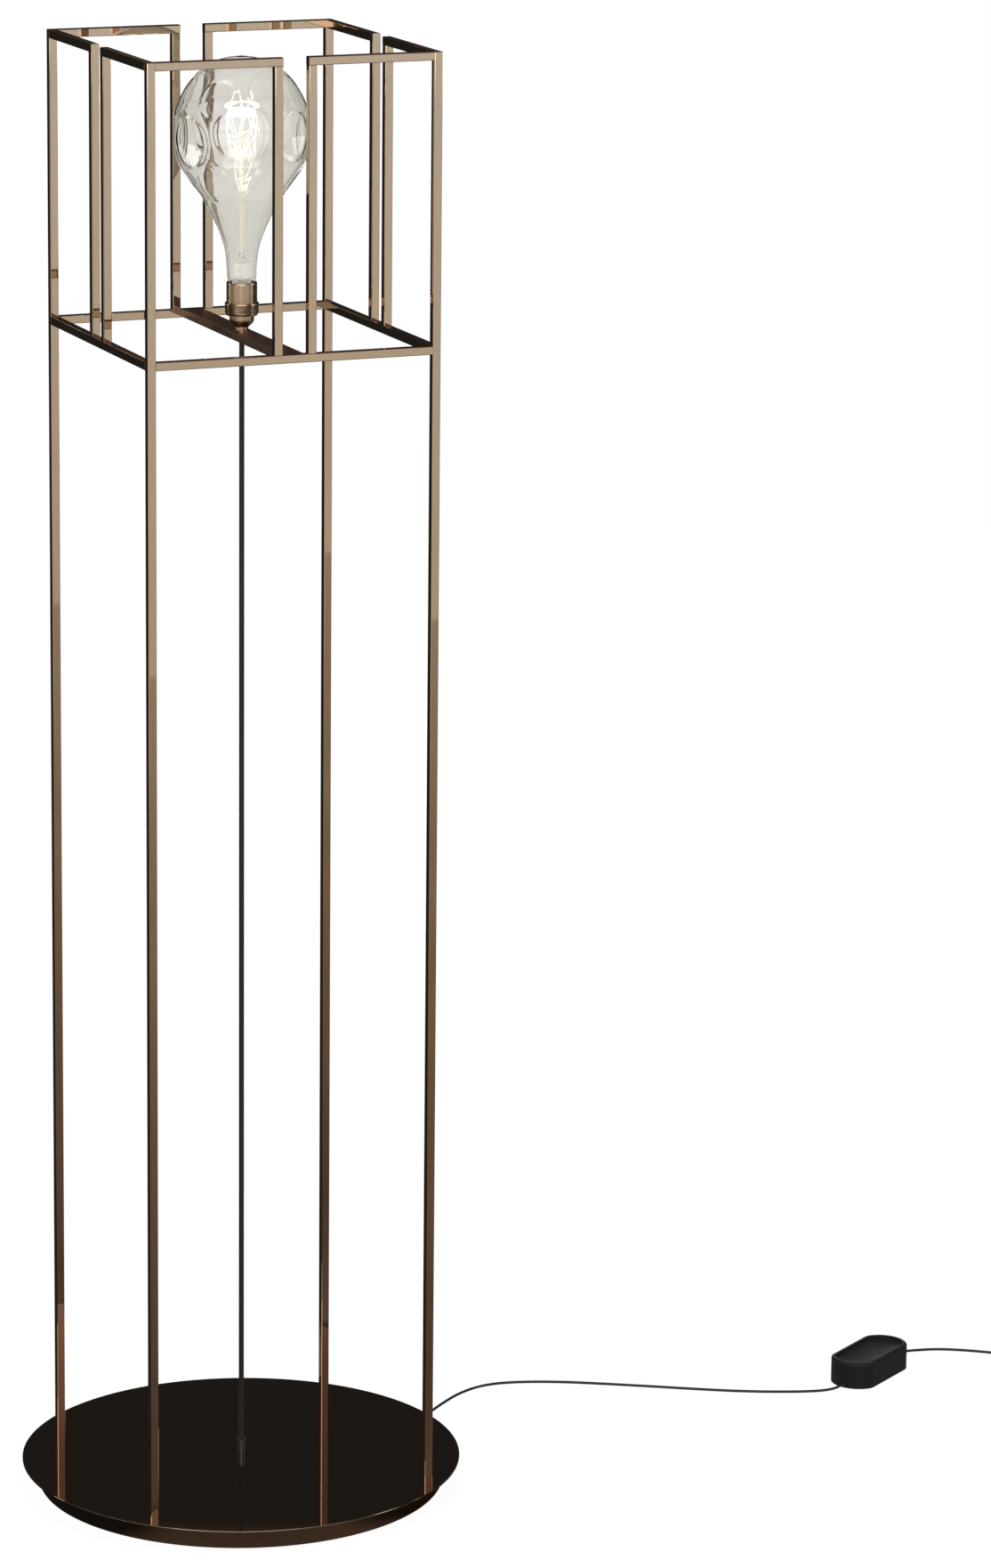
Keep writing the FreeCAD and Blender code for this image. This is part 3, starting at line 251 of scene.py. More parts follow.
def piece(name, body, shapes, replaces=(), sharp=30.0):
    """One object from several surfaces: doubles at seams and poles are merged, edges over the sharp angle stay crisp,
    and it rides on a body of the lamp."""
    points, faces, start = [], [], 0
    for shape_points, shape_faces in shapes:
        points.append(shape_points)
        faces += [[corner + start for corner in face] for face in shape_faces]
        start += len(shape_points)
    mesh = bpy.data.meshes.new(name)
    mesh.from_pydata(np.vstack(points).tolist(), [], faces)
    work = bmesh.new()
    work.from_mesh(mesh)
    bmesh.ops.remove_doubles(work, verts=work.verts, dist=SAME_POINT)
    work.to_mesh(mesh)
    work.free()
    mesh.shade_smooth()
    mesh.set_sharp_from_angle(angle=math.radians(sharp))
    made = bpy.data.objects.new(name, mesh)
    scene.collection.objects.link(made)
    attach(made, body)
    if replaces:
        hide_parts(*replaces)
    return made


# %% [markdown]
# ## Finishes
#
# Each finish is a small tree of nodes: one principled shader, with noise on the part's own coordinates that moves its
# colour, its roughness or its surface a little. A finish could be one flat colour, but real lacquer, rubber and
# braid never are. Numbers that hold all over a surface are set on the shader itself. Two helpers add nodes and fill
# their sockets, so that each finish reads as a short recipe.

# %% Node helpers
def fill_node(tree, node, *first, **named):
    """Fills a node's sockets, the first ones in their order and others by name. A value is set on the socket itself,
    and another node's output is linked to it."""
    sockets = [(node.inputs[place], value) for place, value in enumerate(first)]
    sockets += [(node.inputs[name.replace("_", " ")], value) for name, value in named.items()]
    for socket, value in sockets:
        if isinstance(value, bpy.types.NodeSocket):
            tree.links.new(value, socket)
        else:
            socket.default_value = value
    return node


def add_node(tree, kind, *first, operation=None, **named):
    """A new node of a kind, with its sockets filled."""
    node = tree.nodes.new("ShaderNode" + kind)
    if operation:
        node.operation = operation
    return fill_node(tree, node, *first, **named)


def shades_between(tree, share, start, dark, end, light):
    """A colour that goes from dark to light as a share goes from start to end."""
    ramp = add_node(tree, "ValToRGB", share)
    for stop, place, colour in zip(ramp.color_ramp.elements, (start, end), (dark, light)):
        stop.position = place
        stop.color = (*colour, 1.0)
    return ramp.outputs["Color"]


def new_material(name):
    """An empty material with its tree of nodes."""
    material = bpy.data.materials.new(name)
    material.use_nodes = True
    return material, material.node_tree


print("node helpers are ready")


# %% Finish helper
def finish_of(name, colour, roughness, metallic=0.0, grain=400.0, tint=0.06, rough_swing=0.04, bump=0.0,
              bump_size=2500.0, stretch=(1.0, 1.0, 1.0), **extra):
    """A principled finish. Its colour swings by tint and its roughness by rough_swing with a noise of grain cells a
    metre, stretched along the axes, and a finer noise of bump_size cells lifts its surface by bump metres."""
    material, tree = new_material(name)
    place = add_node(tree, "Mapping", add_node(tree, "TexCoord").outputs["Object"], Scale=stretch).outputs["Vector"]
    noise = add_node(tree, "TexNoise", Vector=place, Scale=grain, Detail=4.0).outputs["Fac"]
    shades = shades_between(tree, noise, 0.3, [c * (1 - tint) for c in colour],
                            0.7, [min(1.0, c * (1 + tint)) for c in colour])
    swing = add_node(tree, "MapRange", noise, To_Min=max(0.0, roughness - rough_swing),
                     To_Max=roughness + rough_swing).outputs["Result"]
    shader = fill_node(tree, tree.nodes["Principled BSDF"], Metallic=metallic, Base_Color=shades, Roughness=swing,
                       **extra)
    if bump:
        fine = add_node(tree, "TexNoise", Vector=place, Scale=bump_size, Detail=2.0).outputs["Fac"]
        lift = add_node(tree, "Bump", Distance=bump, Height=fine).outputs["Normal"]
        fill_node(tree, shader, Normal=lift)
    return material


print("finishes are mixed from noise and one shader")

# %% Metals, plastics, rubber and ceramic
bronze = finish_of("bronze_lacquer", (0.40, 0.30, 0.21), 0.02, 1.0, grain=9.0, tint=0.03, rough_swing=0.008)
# the cross bar: rougher, streaked bronze, with its colour painted darker than the posts' as painted shade
bar_bronze = finish_of("streaked_bar_bronze_painted_dark", (0.30, 0.20, 0.15), 0.4, 1.0, grain=160.0, tint=0.16, rough_swing=0.08,
                       stretch=(1.0, 0.1, 1.0))
turned_bronze = finish_of("turned_bronze", (0.36, 0.26, 0.17), 0.2, 1.0, grain=60.0, tint=0.06, rough_swing=0.05,
                          stretch=(1.0, 1.0, 12.0), bump=0.000006, bump_size=900.0)
black_lacquer = finish_of("black_lacquer", (0.012, 0.010, 0.009), 0.25, grain=120.0, tint=0.15, rough_swing=0.05)
zinc = finish_of("zinc_plate", (0.55, 0.56, 0.57), 0.35, 1.0, grain=90.0, tint=0.08, rough_swing=0.08)
iron = finish_of("rough_iron", (0.10, 0.09, 0.085), 0.7, 0.8, grain=70.0, tint=0.2, bump=0.0002, bump_size=500.0)
rubber = finish_of("black_rubber", (0.02, 0.02, 0.02), 0.75, grain=300.0, tint=0.15, bump=0.00003)
plastic = finish_of("black_plastic", (0.0105, 0.0105, 0.0105), 0.42, grain=260.0, tint=0.12, rough_swing=0.05,
                    bump=0.000012, bump_size=3500.0, Specular_IOR_Level=0.35)
plate_plastic = finish_of("foot_plate_plastic", (0.0125, 0.0125, 0.0125), 0.5, grain=260.0, tint=0.12,
                          rough_swing=0.05, bump=0.00003, bump_size=2600.0, Specular_IOR_Level=0.35)
sleeve = finish_of("lead_sleeve", (0.018, 0.018, 0.018), 0.38, grain=500.0, tint=0.15, rough_swing=0.05)
ceramic = finish_of("white_ceramic", (0.78, 0.76, 0.72), 0.3, grain=120.0, tint=0.03)
brass = finish_of("brass", (0.62, 0.45, 0.20), 0.25, 1.0, grain=150.0, tint=0.08, rough_swing=0.06)
cap_metal = finish_of("cap_metal", (0.62, 0.60, 0.56), 0.28, 1.0, grain=200.0, tint=0.06, rough_swing=0.06)
steel = finish_of("screw_steel", (0.45, 0.44, 0.42), 0.3, 1.0, grain=300.0, tint=0.08)
print("finishes:", len(bpy.data.materials))

# %% [markdown]
# ## Glass
#
# The bulb is blown clear glass, lightly smoked, so that its edges read as a thin dark line and the frame behind it
# shows through. Clear glass could be faked with a mix of transparent and glossy. The principled shader with full
# transmission bends and mirrors light as glass does, and a slow noise on its surface gives the faint ripples of
# blowing.

# %% Glass finishes and the glow
SMOKE = (0.425, 0.383, 0.242, 1.0)


def glass_of(name, colour, ripple, size, density):
    """Clear glass that lets all light through, tinted by colour, with a slow ripple of that depth and cell size. Its
    body takes light away along the path, so that the wall is darker where it is seen edge on."""
    material = finish_of(name, colour, 0.0, grain=20.0, tint=0.01, rough_swing=0.0, bump=ripple, bump_size=size,
                         Transmission_Weight=1.0, IOR=1.46)
    tree = material.node_tree
    smoke = add_node(tree, "VolumeAbsorption", Color=SMOKE, Density=density)
    fill_node(tree, tree.nodes["Material Output"], Volume=smoke.outputs["Volume"])
    return material


glass = glass_of("smoked_glass", (0.95, 0.945, 0.935), 0.0004, 30.0, 230.0)
# the stem's faint glow is painted light, standing in for the filament's light caught in the glass
stem_glass = finish_of("stem_glass", (0.97, 0.97, 0.97), 0.04, grain=200.0, tint=0.02, Transmission_Weight=0.85,
                       IOR=1.46, Emission_Color=(1.0, 0.98, 0.94, 1.0), Emission_Strength=0.13)
glow = finish_of("glowing_filament", (1.0, 0.82, 0.55), 0.5, grain=200.0, tint=0.02,
                 Emission_Color=(1.0, 0.92, 0.74, 1.0), Emission_Strength=1.9)
# the rods' faint glow is painted light: plain support wire, lit by the filament beside it
rod_wire_painted_glow = finish_of("rod_wire_painted_glow", (0.6, 0.5, 0.35), 0.4, 1.0, grain=200.0, tint=0.02,
                      Emission_Color=(1.0, 0.88, 0.62, 1.0), Emission_Strength=0.85)
hot_glow = finish_of("glowing_band", (1.0, 0.9, 0.7), 0.5, grain=200.0, tint=0.02,
                     Emission_Color=(1.0, 0.97, 0.90, 1.0), Emission_Strength=4.0)
print("glass and glow are mixed")

# %% [markdown]
# ## Braid
#
# The upright cord is textile: fine black threads woven round it, so that each shows as a small bump where it passes
# over another. The bumps are in the cord's own grid, further on. This finish paints the same places a little paler,
# as a painted highlight where the raised threads catch the light.

# %% Braid finish
def braid_finish(name, around):
    """Dots of a braid: the product of two sine waves, sin u sin v, where u counts the threads around the cord and v
    the repeats along it. Its high places stand in slanting rows, and are painted a little paler as a painted highlight."""
    material = finish_of(name, (0.008, 0.008, 0.008), 0.75, grain=600.0, tint=0.2, bump=0.00003, bump_size=3000.0,
                         Sheen_Weight=0.08)
    tree = material.node_tree
    place = add_node(tree, "UVMap")
    place.uv_map = "braid"
    split = add_node(tree, "SeparateXYZ", place.outputs["UV"])

    def maths(operation, *values):
        return add_node(tree, "Math", *values, operation=operation).outputs["Value"]

    u = maths("MULTIPLY", split.outputs["X"], 2 * math.pi * around)
    v = maths("MULTIPLY", split.outputs["Y"], 2 * math.pi)
    dots = maths("MULTIPLY", maths("SINE", u), maths("SINE", v))
    share = maths("ADD", maths("MULTIPLY", dots, 0.5), 0.5)
    # painted highlight: the weave's high places are a little paler
    shades = shades_between(tree, share, 0.55, (0.006, 0.006, 0.006), 1.0, (0.024, 0.024, 0.024))
    fill_node(tree, tree.nodes["Principled BSDF"], Base_Color=shades)
    return material


THREADS_AROUND = 6
braid = braid_finish("black_braid", THREADS_AROUND)
print("braid has", THREADS_AROUND, "threads each way around")


# %% Dressing helper
def dress(thing, material):
    """Gives one finish to an object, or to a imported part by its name, through its material slots."""
    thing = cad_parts[thing] if isinstance(thing, str) else thing
    if not thing.material_slots:
        thing.data.materials.append(material)
    for slot in thing.material_slots:
        slot.material = material
    return thing


dress(lead, sleeve)
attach(lead, "lamp")
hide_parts("lead_to_dimmer", "lead_to_plug", "lead_coil")
print("lead is dressed")

# %% [markdown]
# ## The frame
#
# The cage and posts are square steel tube with a small radius along each edge, welded and lacquered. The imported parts
# are sharp boxes, and a mirror finish shows the missing radius at once. So each length of tube is a softened square
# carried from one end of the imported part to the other.

# %% Square tube
TUBE_RADIUS = 0.0009  # metres, along each edge
END_RADIUS = 0.0006  # metres, where a free end is drawn in


def square_tube(node, free_top=False):
    """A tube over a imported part: a square outline with softened corners, repeated at both ends of the part's longest
    side. A free top end is drawn in over its last ring."""
    low, high = (np.array(corner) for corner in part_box(node))
    along = int(np.argmax(high - low))
    across, upward = (along + 1) % 3, (along + 2) % 3
    square = [(low[across], low[upward]), (high[across], low[upward]), (high[across], high[upward]),
              (low[across], high[upward])]
    ring = softened(square, TUBE_RADIUS, closed=True)
    middle = ring.mean(axis=0)
    width = high[across] - low[across]
    levels = [(low[along], 0.0), (high[along], 0.0)]
    if free_top:
        levels = [(low[along], 0.0), (high[along] - END_RADIUS, 0.0),
                  (high[along] - END_RADIUS / 4, END_RADIUS * 0.3), (high[along], END_RADIUS)]
    points = np.zeros((len(levels), len(ring), 3))
    for row, (level, inset) in enumerate(levels):
        points[row, :, along] = level
        points[row][:, [across, upward]] = middle + (ring - middle) * (1 - 2 * inset / width)
    return skin(points)


TUBES = [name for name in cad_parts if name.startswith(("post_", "ring_rail_", "top_rail_", "upright_"))]
for name in sorted(TUBES) + ["cross_bar"]:
    tube = piece("tube_" + name, "lamp", [square_tube(name, free_top=name.startswith("post_"))], (name,),
                 sharp=60.0)
    tube.data.shade_flat()
    dress(tube, bar_bronze if name == "cross_bar" else bronze)
print("tubes:", len(TUBES) + 1)

# %% [markdown]
# ## The base
#
# A thin round plate lies on a slightly smaller drum. Both edges are turned, so each is a closed profile spun about the
# axis. Many sides keep the mirror-bright rim round.

# %% Plate and drum
THREAD_BORE = 5.05
DRUM_WALL = 2.0
PLATE_EDGE = 0.7
DRUM_EDGE = 0.4
RIM_SIDES = 240


def box_of(node):
    """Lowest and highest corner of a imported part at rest, in millimetres."""
    return (np.array(corner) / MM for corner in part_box(node))


def ring_outline(inner, outer, foot, top, reach):
    """The closed outline of a flat ring, outer side upwards, with softened corners."""
    return softened([(inner, foot), (outer, foot), (outer, top), (inner, top)], reach, closed=True)


plate_low, plate_high = box_of("base_disc")
plate_ring = ring_outline(THREAD_BORE, plate_high[0], plate_low[2], plate_high[2], PLATE_EDGE)
plate = piece("base_plate", "lamp", [turned(plate_ring, RIM_SIDES, loop=True)], ("base_disc",),
              sharp=50.0)
drum_low, drum_high = box_of("base_drum")
drum_ring = ring_outline(drum_high[0] - DRUM_WALL, drum_high[0], drum_low[2], drum_high[2], DRUM_EDGE)
drum = piece("base_skirt", "lamp", [turned(drum_ring, RIM_SIDES, loop=True)], ("base_drum",),
             sharp=50.0)
dress(plate, bronze)
dress(drum, bronze)
print("plate radius", round(float(plate_high[0]), 1), "mm")

# %% [markdown]
# ## Under the base
#
# What closes the drum from below, its weight and the wiring parts are plain pressed, cast and moulded pieces. The
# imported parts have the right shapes, so they only take their finishes.

# %% Hidden parts
for name, material in {"bottom_cover": zinc, "cover_pillars": zinc, "cover_screws": steel, "foot_pads": rubber,
                       "base_ballast": iron, "lead_bush": rubber, "terminal_block": ceramic,
                       "inner_lead": sleeve, "lock_nuts": zinc}.items():
    dress(name, material)
print("hidden parts are dressed")

# %% [markdown]
# ## The upright cord
#
# The braided cord hangs straight from the bar into its grip on the plate. It is one tube of many short rings, whose
# radius swells and shrinks with the threads, and it has its own map, so that the finish follows them.

# %% Braided cord
cord_low, cord_high = box_of("lamp_cord")
CORD_SIDES = 24
WANTED_PITCH = 3.2  # millimetres, before it is fitted to the cord's length
BRAID_REPEATS = round((cord_high[2] - cord_low[2]) / WANTED_PITCH)
BRAID_PITCH = (cord_high[2] - cord_low[2]) / BRAID_REPEATS  # millimetres along the cord for one repeat
BRAID_LIFT = 0.1
ROWS_PER_REPEAT = 4


def cord_grid(radius, foot, top):
    """Rings at even steps of height, four for each repeat. The radius falls by lift (1 - sin 6a sin v), where a is
    the angle around the cord and v goes once round for each repeat."""
    rows = ROWS_PER_REPEAT * BRAID_REPEATS + 1

    def woven(angle, reach, level):
        dots = np.sin(THREADS_AROUND * angle) * np.sin(2 * np.pi * (level - foot) / BRAID_PITCH)
        return reach - BRAID_LIFT * (1 - dots)

    return turned(np.column_stack([np.full(rows, radius), np.linspace(foot, top, rows)]), CORD_SIDES, ripple=woven)


cord = piece("braided_cord", "lamp", [cord_grid((cord_high[0] - cord_low[0]) / 2, cord_low[2], cord_high[2])],
             ("lamp_cord",), sharp=80.0)
print("braid repeats", BRAID_REPEATS, "times,", round(float(BRAID_PITCH), 2), "mm each")


# %% The braid's map
def map_braid(thing):
    """Each face's corners get u = share of the way around and v = height up the cord over the braid's pitch."""
    mesh = thing.data
    layer = mesh.uv_layers.new(name="braid")
    where = np.zeros(len(mesh.vertices) * 3)
    mesh.vertices.foreach_get("co", where)
    where = where.reshape(-1, 3)
    corner = np.zeros(len(mesh.loops), int)
    mesh.loops.foreach_get("vertex_index", corner)
    first = np.zeros(len(mesh.polygons), int)
    count = np.zeros(len(mesh.polygons), int)
    mesh.polygons.foreach_get("loop_start", first)
    mesh.polygons.foreach_get("loop_total", count)
    face = np.repeat(np.arange(len(first)), count)
    around = np.arctan2(where[corner, 1], where[corner, 0]) / (2 * np.pi)
    lowest = np.minimum.reduceat(around, first)
    highest = np.maximum.reduceat(around, first)
    around = np.where((highest - lowest)[face] > 0.5, np.where(around < 0, around + 1, around), around)
    pair = np.column_stack([around, (where[corner, 2] / MM - cord_low[2]) / BRAID_PITCH])
    layer.data.foreach_set("uv", pair.ravel())


map_braid(cord)
dress(cord, braid)
print("cord", round(float(cord_high[2] - cord_low[2])), "mm long")

# %% [markdown]
# ## The grip and the lampholder
#
# A small turned grip holds the cord where it enters the plate. On the bar stand a collar, a rounded cup, a ribbed ring
# and a plain sleeve that hides the ceramic core. All are lathe work, so each is a profile with softened corners, spun
# about the axis.

# %% Turned parts
def levels_of(node):
    """Foot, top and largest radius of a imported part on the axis, in millimetres."""
    low, high = box_of(node)
    return low[2], high[2], high[0]


grip_foot, grip_top, grip_radius = levels_of("cord_grip")
plate_top = plate_high[2]
BORE = 3.35
SPIGOT_RADIUS = 5.0  # of the grip's part below the plate
grip_outline = softened([(BORE, grip_foot), (SPIGOT_RADIUS, grip_foot), (SPIGOT_RADIUS, plate_top),
                         (grip_radius, plate_top), (grip_radius, grip_top), (BORE, grip_top)],
                        [0.3, 0.3, 0.1, 0.3, 1.2, 0.4], closed=True)
grip = piece("grip", "lamp", [turned(grip_outline, 64, loop=True)], ("cord_grip",), sharp=40.0)
dress(grip, black_lacquer)
dress("grip_set_screw", steel)

cup_foot, cup_top, cup_radius = levels_of("holder_cup")
HOLDER_BORE = 5.2
cup_outline = softened([(HOLDER_BORE, cup_foot), (8.0, cup_foot), (11.2, cup_foot + 2.4),
                        (cup_radius, cup_foot + 6.5), (cup_radius, cup_top), (13.6, cup_top), (13.6, cup_foot + 7.2),
                        (10.4, cup_foot + 3.6), (HOLDER_BORE, cup_foot + 1.2)],
                       [0.3, 1.5, 2.0, 2.5, 0.4, 0.3, 1.5, 1.5, 0.3], closed=True)
cup = piece("cup", "lamp", [turned(cup_outline, 96, loop=True)], ("holder_cup",), sharp=50.0)
print("grip and cup are turned")

# %% Ring and sleeve
ring_foot, ring_top, ring_radius = levels_of("holder_shade_ring")
sleeve_foot, sleeve_top, sleeve_radius = levels_of("holder_shell")
RIBS = 5
RIB_PITCH = 2.0
RIB_DEPTH = 0.55
RIBS_FOOT = 3.2  # above the ring's foot
RING_GAP = 0.1  # between the ring and the sleeve inside it


def ribbed_side():
    """The ring's outside: a slope up from its foot, then rounded ribs, radius R - d (1 + cos(2 pi h / p)) / 2."""
    height = np.linspace(0.0, RIBS * RIB_PITCH, RIBS * 12 + 1)
    radius = ring_radius - RIB_DEPTH * (1 + np.cos(2 * np.pi * height / RIB_PITCH)) / 2
    return np.column_stack([radius, ring_foot + RIBS_FOOT + height])


ring_bore = sleeve_radius + RING_GAP
slope = softened([(ring_bore, ring_foot), (ring_radius - 2.6, ring_foot), (ring_radius - 0.2, ring_foot + 2.6)], 0.5)
brim = softened([(ring_radius, ring_foot + RIBS_FOOT + 0.4 + RIBS * RIB_PITCH), (ring_radius - 0.2, ring_top),
                 (ring_bore, ring_top)], 0.5)
shade_ring = piece("ribbed_ring", "lamp", [turned(np.vstack([slope, ribbed_side(), brim]), 96, loop=True)],
                   ("holder_shade_ring",), sharp=50.0)
SLEEVE_WALL = 1.0
sleeve_bore = sleeve_radius - SLEEVE_WALL
sleeve_outline = softened([(HOLDER_BORE, sleeve_foot), (sleeve_radius, sleeve_foot),
                           (sleeve_radius, sleeve_top - 1.2), (sleeve_radius - 0.25, sleeve_top),
                           (sleeve_bore, sleeve_top), (sleeve_bore, sleeve_foot + SLEEVE_WALL),
                           (HOLDER_BORE, sleeve_foot + SLEEVE_WALL)],
                          [0.2, 0.6, 0.6, 0.4, 0.3, 0.6, 0.2], closed=True)
holder_sleeve = piece("holder_sleeve", "lamp", [turned(sleeve_outline, 128, loop=True)], ("holder_shell",),
                      sharp=50.0)
for part in (cup, shade_ring, holder_sleeve, "holder_nipple"):
    dress(part, turned_bronze)
for name, material in {"holder_core": ceramic, "holder_screw_shell": brass, "holder_contact": brass}.items():
    dress(name, material)
print("lampholder is dressed")

# %% [markdown]
# ## The bulb
#
# The cap carries a rolled screw thread. The glass is a tall pear with broad dimples around its belly, which give the
# bright curled reflections in the picture. A lathe profile gives the pear, and the dimples are smooth hollows
# subtracted from its radius. The wall is a second grid, a little smaller, that runs back down inside.

# %% Screw cap
cap_foot, cap_top, cap_radius = levels_of("bulb_cap")
THREAD_PITCH = 3.62
THREAD_DEPTH = 0.85


def thread_ripple(angle, radius, level):
    """A rolled thread: the radius falls by d (1 + sin(2 pi z / p - a)) / 2 between the plain ends of the cap."""
    plain_foot, plain_top, run_out = 6.0, 1.5, 1.5
    inside = np.clip((level - cap_foot - plain_foot) / run_out, 0, 1)
    inside = inside * np.clip((cap_top - plain_top - level) / run_out, 0, 1)
    inside = np.where(radius > cap_radius - 0.2, inside, 0.0)
    return radius - inside * THREAD_DEPTH * (1 + np.sin(2 * np.pi * level / THREAD_PITCH - angle)) / 2


CAP_ROWS = 60
side = np.column_stack([np.full(CAP_ROWS, cap_radius), np.linspace(cap_foot + 5.6, cap_top - 0.3, CAP_ROWS)])
cap_outline = np.vstack([softened([(0.0, cap_foot), (4.2, cap_foot), (5.0, cap_foot + 1.0),
                                   (cap_radius - 1.2, cap_foot + 4.6), (cap_radius, cap_foot + 5.6)], 0.5), side,
                         [(cap_radius - 0.4, cap_top), (cap_radius - 0.6, cap_foot + 7.0), (0.0, cap_foot + 7.0)]])
screw_cap = piece("screw_cap", "bulb_foot", [turned(cap_outline, 96, caps=(False, False), ripple=thread_ripple)],
                  ("bulb_cap",), sharp=50.0)
dress(screw_cap, cap_metal)
print("thread pitch", THREAD_PITCH, "mm")

# %% Pear profile
glass_foot, glass_top, _ = levels_of("bulb_glass")
PEAR_RADIUS = 79.8  # before the dimples
PEAR_ROWS = 176
PEAR = np.array([(0.0, 0.1655), (0.012, 0.190), (0.038, 0.216), (0.078, 0.224), (0.156, 0.251), (0.285, 0.404),
                 (0.377, 0.570), (0.440, 0.742), (0.525, 0.916), (0.655, 1.0), (0.747, 0.985), (0.839, 0.868),
                 (0.932, 0.618), (0.978, 0.355), (1.0, 0.0)])  # share of the height, share of the largest radius


def smooth_through(knots, count):
    """A smooth line through knots: cubic pieces whose slope at a knot is that of the line between its neighbours,
    over the length of the chords."""
    chord = np.concatenate([[0.0], np.cumsum(np.linalg.norm(np.diff(knots, axis=0), axis=1))])
    slope = np.gradient(knots, chord, axis=0)
    at = np.linspace(0.0, chord[-1], count)
    part = np.clip(np.searchsorted(chord, at, side="right") - 1, 0, len(chord) - 2)
    width = (chord[part + 1] - chord[part])[:, None]
    t = ((at - chord[part]) / width[:, 0])[:, None]
    return ((2 * t ** 3 - 3 * t ** 2 + 1) * knots[part] + (t ** 3 - 2 * t ** 2 + t) * width * slope[part]
            + (3 * t ** 2 - 2 * t ** 3) * knots[part + 1] + (t ** 3 - t ** 2) * width * slope[part + 1])


height = glass_top - glass_foot
knots = np.column_stack([PEAR[:, 1] * PEAR_RADIUS, glass_foot + PEAR[:, 0] * height])
pear = smooth_through(knots, PEAR_ROWS)
pear[-1, 0] = 0.0
pear[:, 0] = np.clip(pear[:, 0], 0.0, PEAR_RADIUS)
print("glass", round(float(height), 1), "mm tall")

# %% Dimples
TO_CAMERA = math.degrees(math.atan2(EYE[1], EYE[0]))
BELLY = glass_foot + 0.655 * height
rng = np.random.default_rng(7)
DEEPEST = 6.0
SEVENTH = 51.43  # degrees, a seventh of the way round


def dimple_row(sevenths, lift, turn_swing, lift_swing, width, depth):
    """Dimples at even angles from the camera's side, each moved a little at random round the bulb and up or down."""
    return [(TO_CAMERA + SEVENTH * place + rng.uniform(-turn_swing, turn_swing),
             BELLY + lift + rng.uniform(-lift_swing, lift_swing), width, depth) for place in sevenths]


DIMPLES = [(TO_CAMERA, BELLY + 12, 34.0, DEEPEST)]  # angle in degrees, height, width and depth
DIMPLES += dimple_row(np.arange(1, 7), 0.0, 3.0, 6.0, 31.0, DEEPEST)
DIMPLES += dimple_row(np.arange(7) + 0.5, -50.0, 4.0, 5.0, 24.0, 3.2)
DIMPLES += dimple_row(np.arange(7) + 0.5, 50.0, 4.0, 4.0, 22.0, 3.0)
GLASS_SIDES = 276
GLASS_WALL = 1.1
GLASS_INSET = 0.35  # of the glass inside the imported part
CROWN_WALL = 1.2  # at the bulb's top
BORDER = 0.09  # how wide a dimple's thicker border is, as a share of its width
FLUTES = 14
FLUTE_DEPTH = 0.25
print("dimples:", len(DIMPLES), "the deepest", DEEPEST, "mm")


# %% Blown glass
def dimpled(wall):
    """Takes hollows from a radius: each is depth (1 - (d / width)^2)^1.3 within its width, where d is the distance
    over the glass from its middle. Further in by its thickness lies the inner wall. The glass is thinner in a hollow,
    by a share (1 - (d / width)^2)^0.5, and thicker along its border, by a share exp(-((d / width - 1) / border)^2).
    Shallow flutes, f cos 14 a, run up the neck and fade out."""
    def ripple(angle, radius, level):
        hollow, thin, thick = (np.zeros_like(radius) for _ in range(3))
        for turn, middle, width, depth in DIMPLES:
            away = (angle - math.radians(turn) + np.pi) % (2 * np.pi) - np.pi
            far = ((radius * away) ** 2 + (level - middle) ** 2) / width ** 2
            inside = np.clip(1 - far, 0, 1)
            hollow = hollow + depth * inside ** 1.3
            thin = np.maximum(thin, depth / DEEPEST * inside ** 0.5)
            thick = np.maximum(thick, depth / DEEPEST * np.exp(-((np.sqrt(far) - 1) / BORDER) ** 2))
        flute = FLUTE_DEPTH * np.cos(FLUTES * angle) * np.clip(1 - (level - glass_foot) / 60.0, 0, 1)
        inset = GLASS_INSET + wall * (1 - 0.55 * thin + 0.45 * thick)
        return np.maximum(radius - hollow - flute * (radius > 5) - inset * (radius > 0), 0.0)
    return ripple


outer = turned(pear, GLASS_SIDES, caps=(False, False), ripple=dimpled(0.0))
inner_profile = pear[::-1].copy()
inner_profile[:, 1] = np.minimum(inner_profile[:, 1], glass_top - CROWN_WALL)
inner_profile[0, 1] = glass_top - CROWN_WALL
inner = turned(inner_profile, GLASS_SIDES, caps=(False, False), ripple=dimpled(GLASS_WALL))
rim = turned([(inner_profile[-1, 0] - GLASS_INSET - GLASS_WALL, glass_foot), (pear[0, 0] - GLASS_INSET, glass_foot)],
             GLASS_SIDES, caps=(False, False),
             ripple=lambda angle, radius, level: radius - FLUTE_DEPTH * np.cos(FLUTES * angle))
bulb = piece("glass_envelope", "bulb", [outer, inner, rim], ("bulb_glass",), sharp=80.0)
dress(bulb, glass)
print("glass wall", GLASS_WALL, "mm, faces", len(bulb.data.polygons))

# %% [markdown]
# ## Inside the bulb
#
# A fluted stem of pressed glass stands in the neck. A rod rises from it and carries the glowing filament, which loops
# round and round near the top of the bulb. The filament is a bright tube carried along a winding line.

# %% Stem
stem_foot, stem_top, stem_radius = levels_of("bulb_stem")
stem_outline = softened([(0.0, stem_foot), (stem_radius, stem_foot), (stem_radius, cap_top + 0.3),
                         (9.6, cap_top + 10.0), (9.4, cap_top + 30.0), (4.0, cap_top + 33.5), (2.4, stem_top - 5.0),
                         (1.6, stem_top), (0.0, stem_top)],
                        [0.3, 0.3, 1.0, 4.0, 6.0, 2.0, 3.0, 0.5, 0.3], steps=6)


